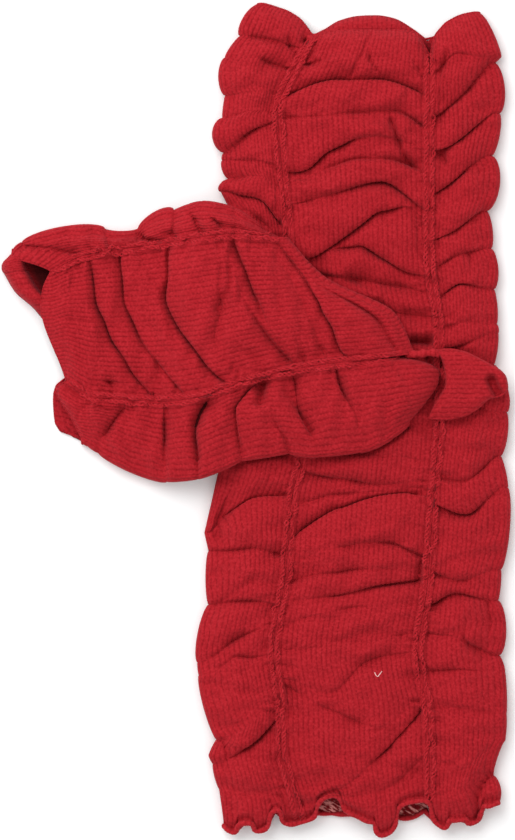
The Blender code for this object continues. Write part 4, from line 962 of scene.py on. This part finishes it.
def tubeGrid(path, radius, sides, wales, flat=1.0):
    # A ring of the given radius round every point of a path, drawn in at both ends.
    side, up = pathFrame(path)
    angle = np.linspace(0, 2 * np.pi, sides, endpoint=False)
    radius = np.broadcast_to(radius, (len(path),)).copy()
    radius[[0, -1]] *= 0.1
    ring = np.cos(angle)[:, None] * side[:, None] + flat * np.sin(angle)[:, None] * up[:, None]
    return path[:, None] + radius[:, None, None] * ring, wales, 1.0, -1, True


# Chain stitches: two lines beside each seam, each a pair of strands that wind round each other.
# What varies has its size and the length of its waves.
stitches = dict(
    fromSeam=1.5, pitch=4.2, strand=0.42, swing=0.44, rise=0.18, sunk=0.13, step=0.32, soften=6,
    endRows=3, sides=6, wale=0.25, seed=200, swingVaries=(0.25, 6.0), sunkVaries=(0.08, 14.0),
    lineVaries=(0.24, 9.0), windVaries=(0.8, 11.0))


def chainGrids(points, seed):
    # Each strand swings to the sides by the sine of its winding and up and down by the cosine.
    path, at = evenPath(lineOnCloth(points, stitches["fromSeam"]), stitches["step"], stitches["soften"])
    side, up = pathFrame(path)
    wander = lineWaves(at, *stitches["lineVaries"], seed)
    sunk = stitches["sunk"] + lineWaves(at, *stitches["sunkVaries"], seed + 6)
    swing = stitches["swing"] * (1 + lineWaves(at, *stitches["swingVaries"], seed + 2))
    veer = lineWaves(at, *stitches["windVaries"], seed + 1)
    grids = []
    for start in (0, np.pi):
        wind = 2 * np.pi * at / stitches["pitch"] + start + veer
        strand = path + side * (wander + swing * np.sin(wind))[:, None]
        strand = strand + up * (stitches["rise"] * np.cos(wind) - sunk)[:, None]
        grids.append(tubeGrid(strand, stitches["strand"], stitches["sides"], stitches["wale"]))
    return grids


for name, front, sides in (("lowerSeamStitches", lowerFront, (lowerLeft, lowerRight)),
                           ("crossedSeamStitches", crossedFront, (crossedUpper, crossedLower))):
    points = front["points"] if front["lower"] else front["points"][:-cloth["turnRows"] - 1]
    beside = [points, points[:, ::-1], sides[0]["points"], sides[1]["points"]]
    inner = slice(stitches["endRows"], -stitches["endRows"])
    grids = [chainGrids(points[inner], stitches["seed"] + 3 * i) for i, points in enumerate(beside)]
    gridMesh(name, sum(grids, []), stitchYarn)

# The crossed warmer's gathered seam goes on from the slanting fold to the ruffled end.
seamBand = dict(
    radius=1.35, uneven=(0.16, 3.0), step=0.3, soften=12, sides=16, flat=0.8,
    seed=420, places=[
        (145.5, 127.4, 2.9), (149, 127.6, 3.4), (153, 127.2, 3.4), (156, 126.9, 3), (158.5, 127.6, 2.6)])
along, across, height = np.array(seamBand["places"]).T
path, at = evenPath(crossedPlace(across, along, height), seamBand["step"], seamBand["soften"])
radii = seamBand["radius"] * (1 + lineWaves(at, *seamBand["uneven"], seamBand["seed"]))
wales = at[:, None] / cloth["walePitch"]
band = tubeGrid(path, radii, seamBand["sides"], wales, seamBand["flat"])
gridMesh("crossedSeamBand", [band], stitchYarn)

# The rolled lettuce edge and the turned cuffs: a bead round the tube's end, panel by panel.  The
# thread is how strongly the overlocking pinches it, once a pitch.
bead = dict(
    pitch=0.9, pinch=0.16, uneven=0.12, unevenLength=7.0, step=0.3, soften=4, sides=8, seed=310)
hemBead = dict(radius=0.98, thread=1.0, raised=0.35)
cuffBead = dict(radius=0.48, thread=0.4, raised=-0.4)


def endLoop(row, left, front, right, back):
    # One row of each panel, once round the tube and without the corners that two of them share.
    edge = [left[row, ::-1], front[row], right[row], back[row, ::-1]]
    return np.concatenate([part[1:-1] for part in edge])


def beadGrid(loop, radius, thread, raised):
    # The radius dips by |sin(pi length / pitch)| and by seeded waves.
    path, at = evenPath(loop, bead["step"], bead["soften"])
    radii = radius - bead["pinch"] * thread * np.abs(np.sin(np.pi * at / bead["pitch"]))
    radii = radii * (1 + lineWaves(at, bead["uneven"] * thread, bead["unevenLength"], bead["seed"]))
    path[:, 2] = np.maximum(path[:, 2] + raised, radius)
    return tubeGrid(path, radii, bead["sides"], at[:, None] / cloth["walePitch"])


lowerPoints = [panel["points"] for panel in (lowerLeft, lowerFront, lowerRight, lowerBack)]
crossedPoints = [panel["points"] for panel in (crossedUpper, crossedFront, crossedLower, crossedBack)]
for name, row, points, look, yarn in (
        ("lowerHemBead", -1, lowerPoints, hemBead, hemYarn),
        ("lowerCuffEdge", 0, lowerPoints, cuffBead, redKnit),
        ("crossedCuffEdge", 0, crossedPoints, cuffBead, redKnit)):
    gridMesh(name, [beadGrid(endLoop(row, *points), **look)], yarn)
print("stitches and edges made")

# The loose end of pale yarn that lies on the lower warmer.
looseEnd = dict(radius=0.15, step=0.12, soften=3, sides=8, places=[
    (134.8, 241.9), (135.4, 243.2), (136.0, 243.5), (137.5, 241.5)])
across, along = np.array(looseEnd["places"]).T
route = lowerPlace(across, along, 0 * along)
top = lowerFront["points"].reshape(-1, 3)
for corner in route:
    corner[2] = top[np.argmin(np.hypot(*(top[:, :2] - corner[:2]).T)), 2] + looseEnd["radius"]
route = evenPath(route, looseEnd["step"], looseEnd["soften"])[0]
gridMesh("looseYarnEnd", [tubeGrid(route, looseEnd["radius"], looseEnd["sides"], 0.0)], paleThread)

whole = bpy.context.evaluated_depsgraph_get()
for name, piece in pieces.items():
    mesh = piece.evaluated_get(whole).data
    mesh.calc_loop_triangles()
    print(name, len(mesh.loop_triangles), "triangles")

# The floor, the light and the camera.
studio = dict(
    floor=(0.9, 0.9, 0.9, 1.0), floorRoughness=0.9, floorReach=3, floorLevel=-0.0004, sky=0.92,
    key=15.0, keySize=1.2, keyPlace=(-0.55, 0.75, 1.1), cameraHeight=3.0, pairMiddle=0.008,
    sensor=24.0, clipEnd=20)
floorMesh = bpy.data.meshes.new("floor")
floorMesh.from_pydata([(x * studio["floorReach"], y * studio["floorReach"], studio["floorLevel"])
                       for x, y in ((-1, -1), (1, -1), (1, 1), (-1, 1))], [], [(0, 1, 2, 3)])
floor = addObject("floor", floorMesh)
floorMaterial = bpy.data.materials.new("paleFloor")
floorMaterial.use_nodes = True
setInputs(floorMaterial.node_tree, floorMaterial.node_tree.nodes["Principled BSDF"],
          {"Base Color": studio["floor"], "Roughness": studio["floorRoughness"]})
floorMesh.materials.append(floorMaterial)

world = bpy.data.worlds.new("softStudio")
world.use_nodes = True
setInputs(world.node_tree, world.node_tree.nodes["Background"],
          {"Color": (1.0, 1.0, 1.0, 1.0), "Strength": studio["sky"]})
bpy.context.scene.world = world

light = bpy.data.lights.new("keyLight", "AREA")
light.size, light.energy = studio["keySize"], studio["key"]
lamp = addObject("keyLight", light)
lamp.location = studio["keyPlace"]
x, y, z = studio["keyPlace"]
lamp.rotation_euler = (math.atan2(math.hypot(x, y), z), 0, math.atan2(y, x) + math.pi / 2)

pictureWidth, pictureHeight = picture["width"] * picture["pixel"], picture["height"] * picture["pixel"]
cameraData = bpy.data.cameras.new("camera")
cameraData.sensor_fit = "VERTICAL"
cameraData.sensor_height = studio["sensor"]
distance = studio["cameraHeight"] - studio["pairMiddle"]
cameraData.lens = studio["sensor"] * distance / (pictureHeight * mm)
cameraData.clip_end = studio["clipEnd"]
camera = addObject("camera", cameraData)
camera.location = ((pictureWidth / 2 - pairWidth / 2) * mm, (pairLength / 2 - pictureHeight / 2) * mm,
                   studio["cameraHeight"])
bpy.context.scene.camera = camera
bpy.context.scene.view_settings.view_transform = "Standard"
print("studio made")
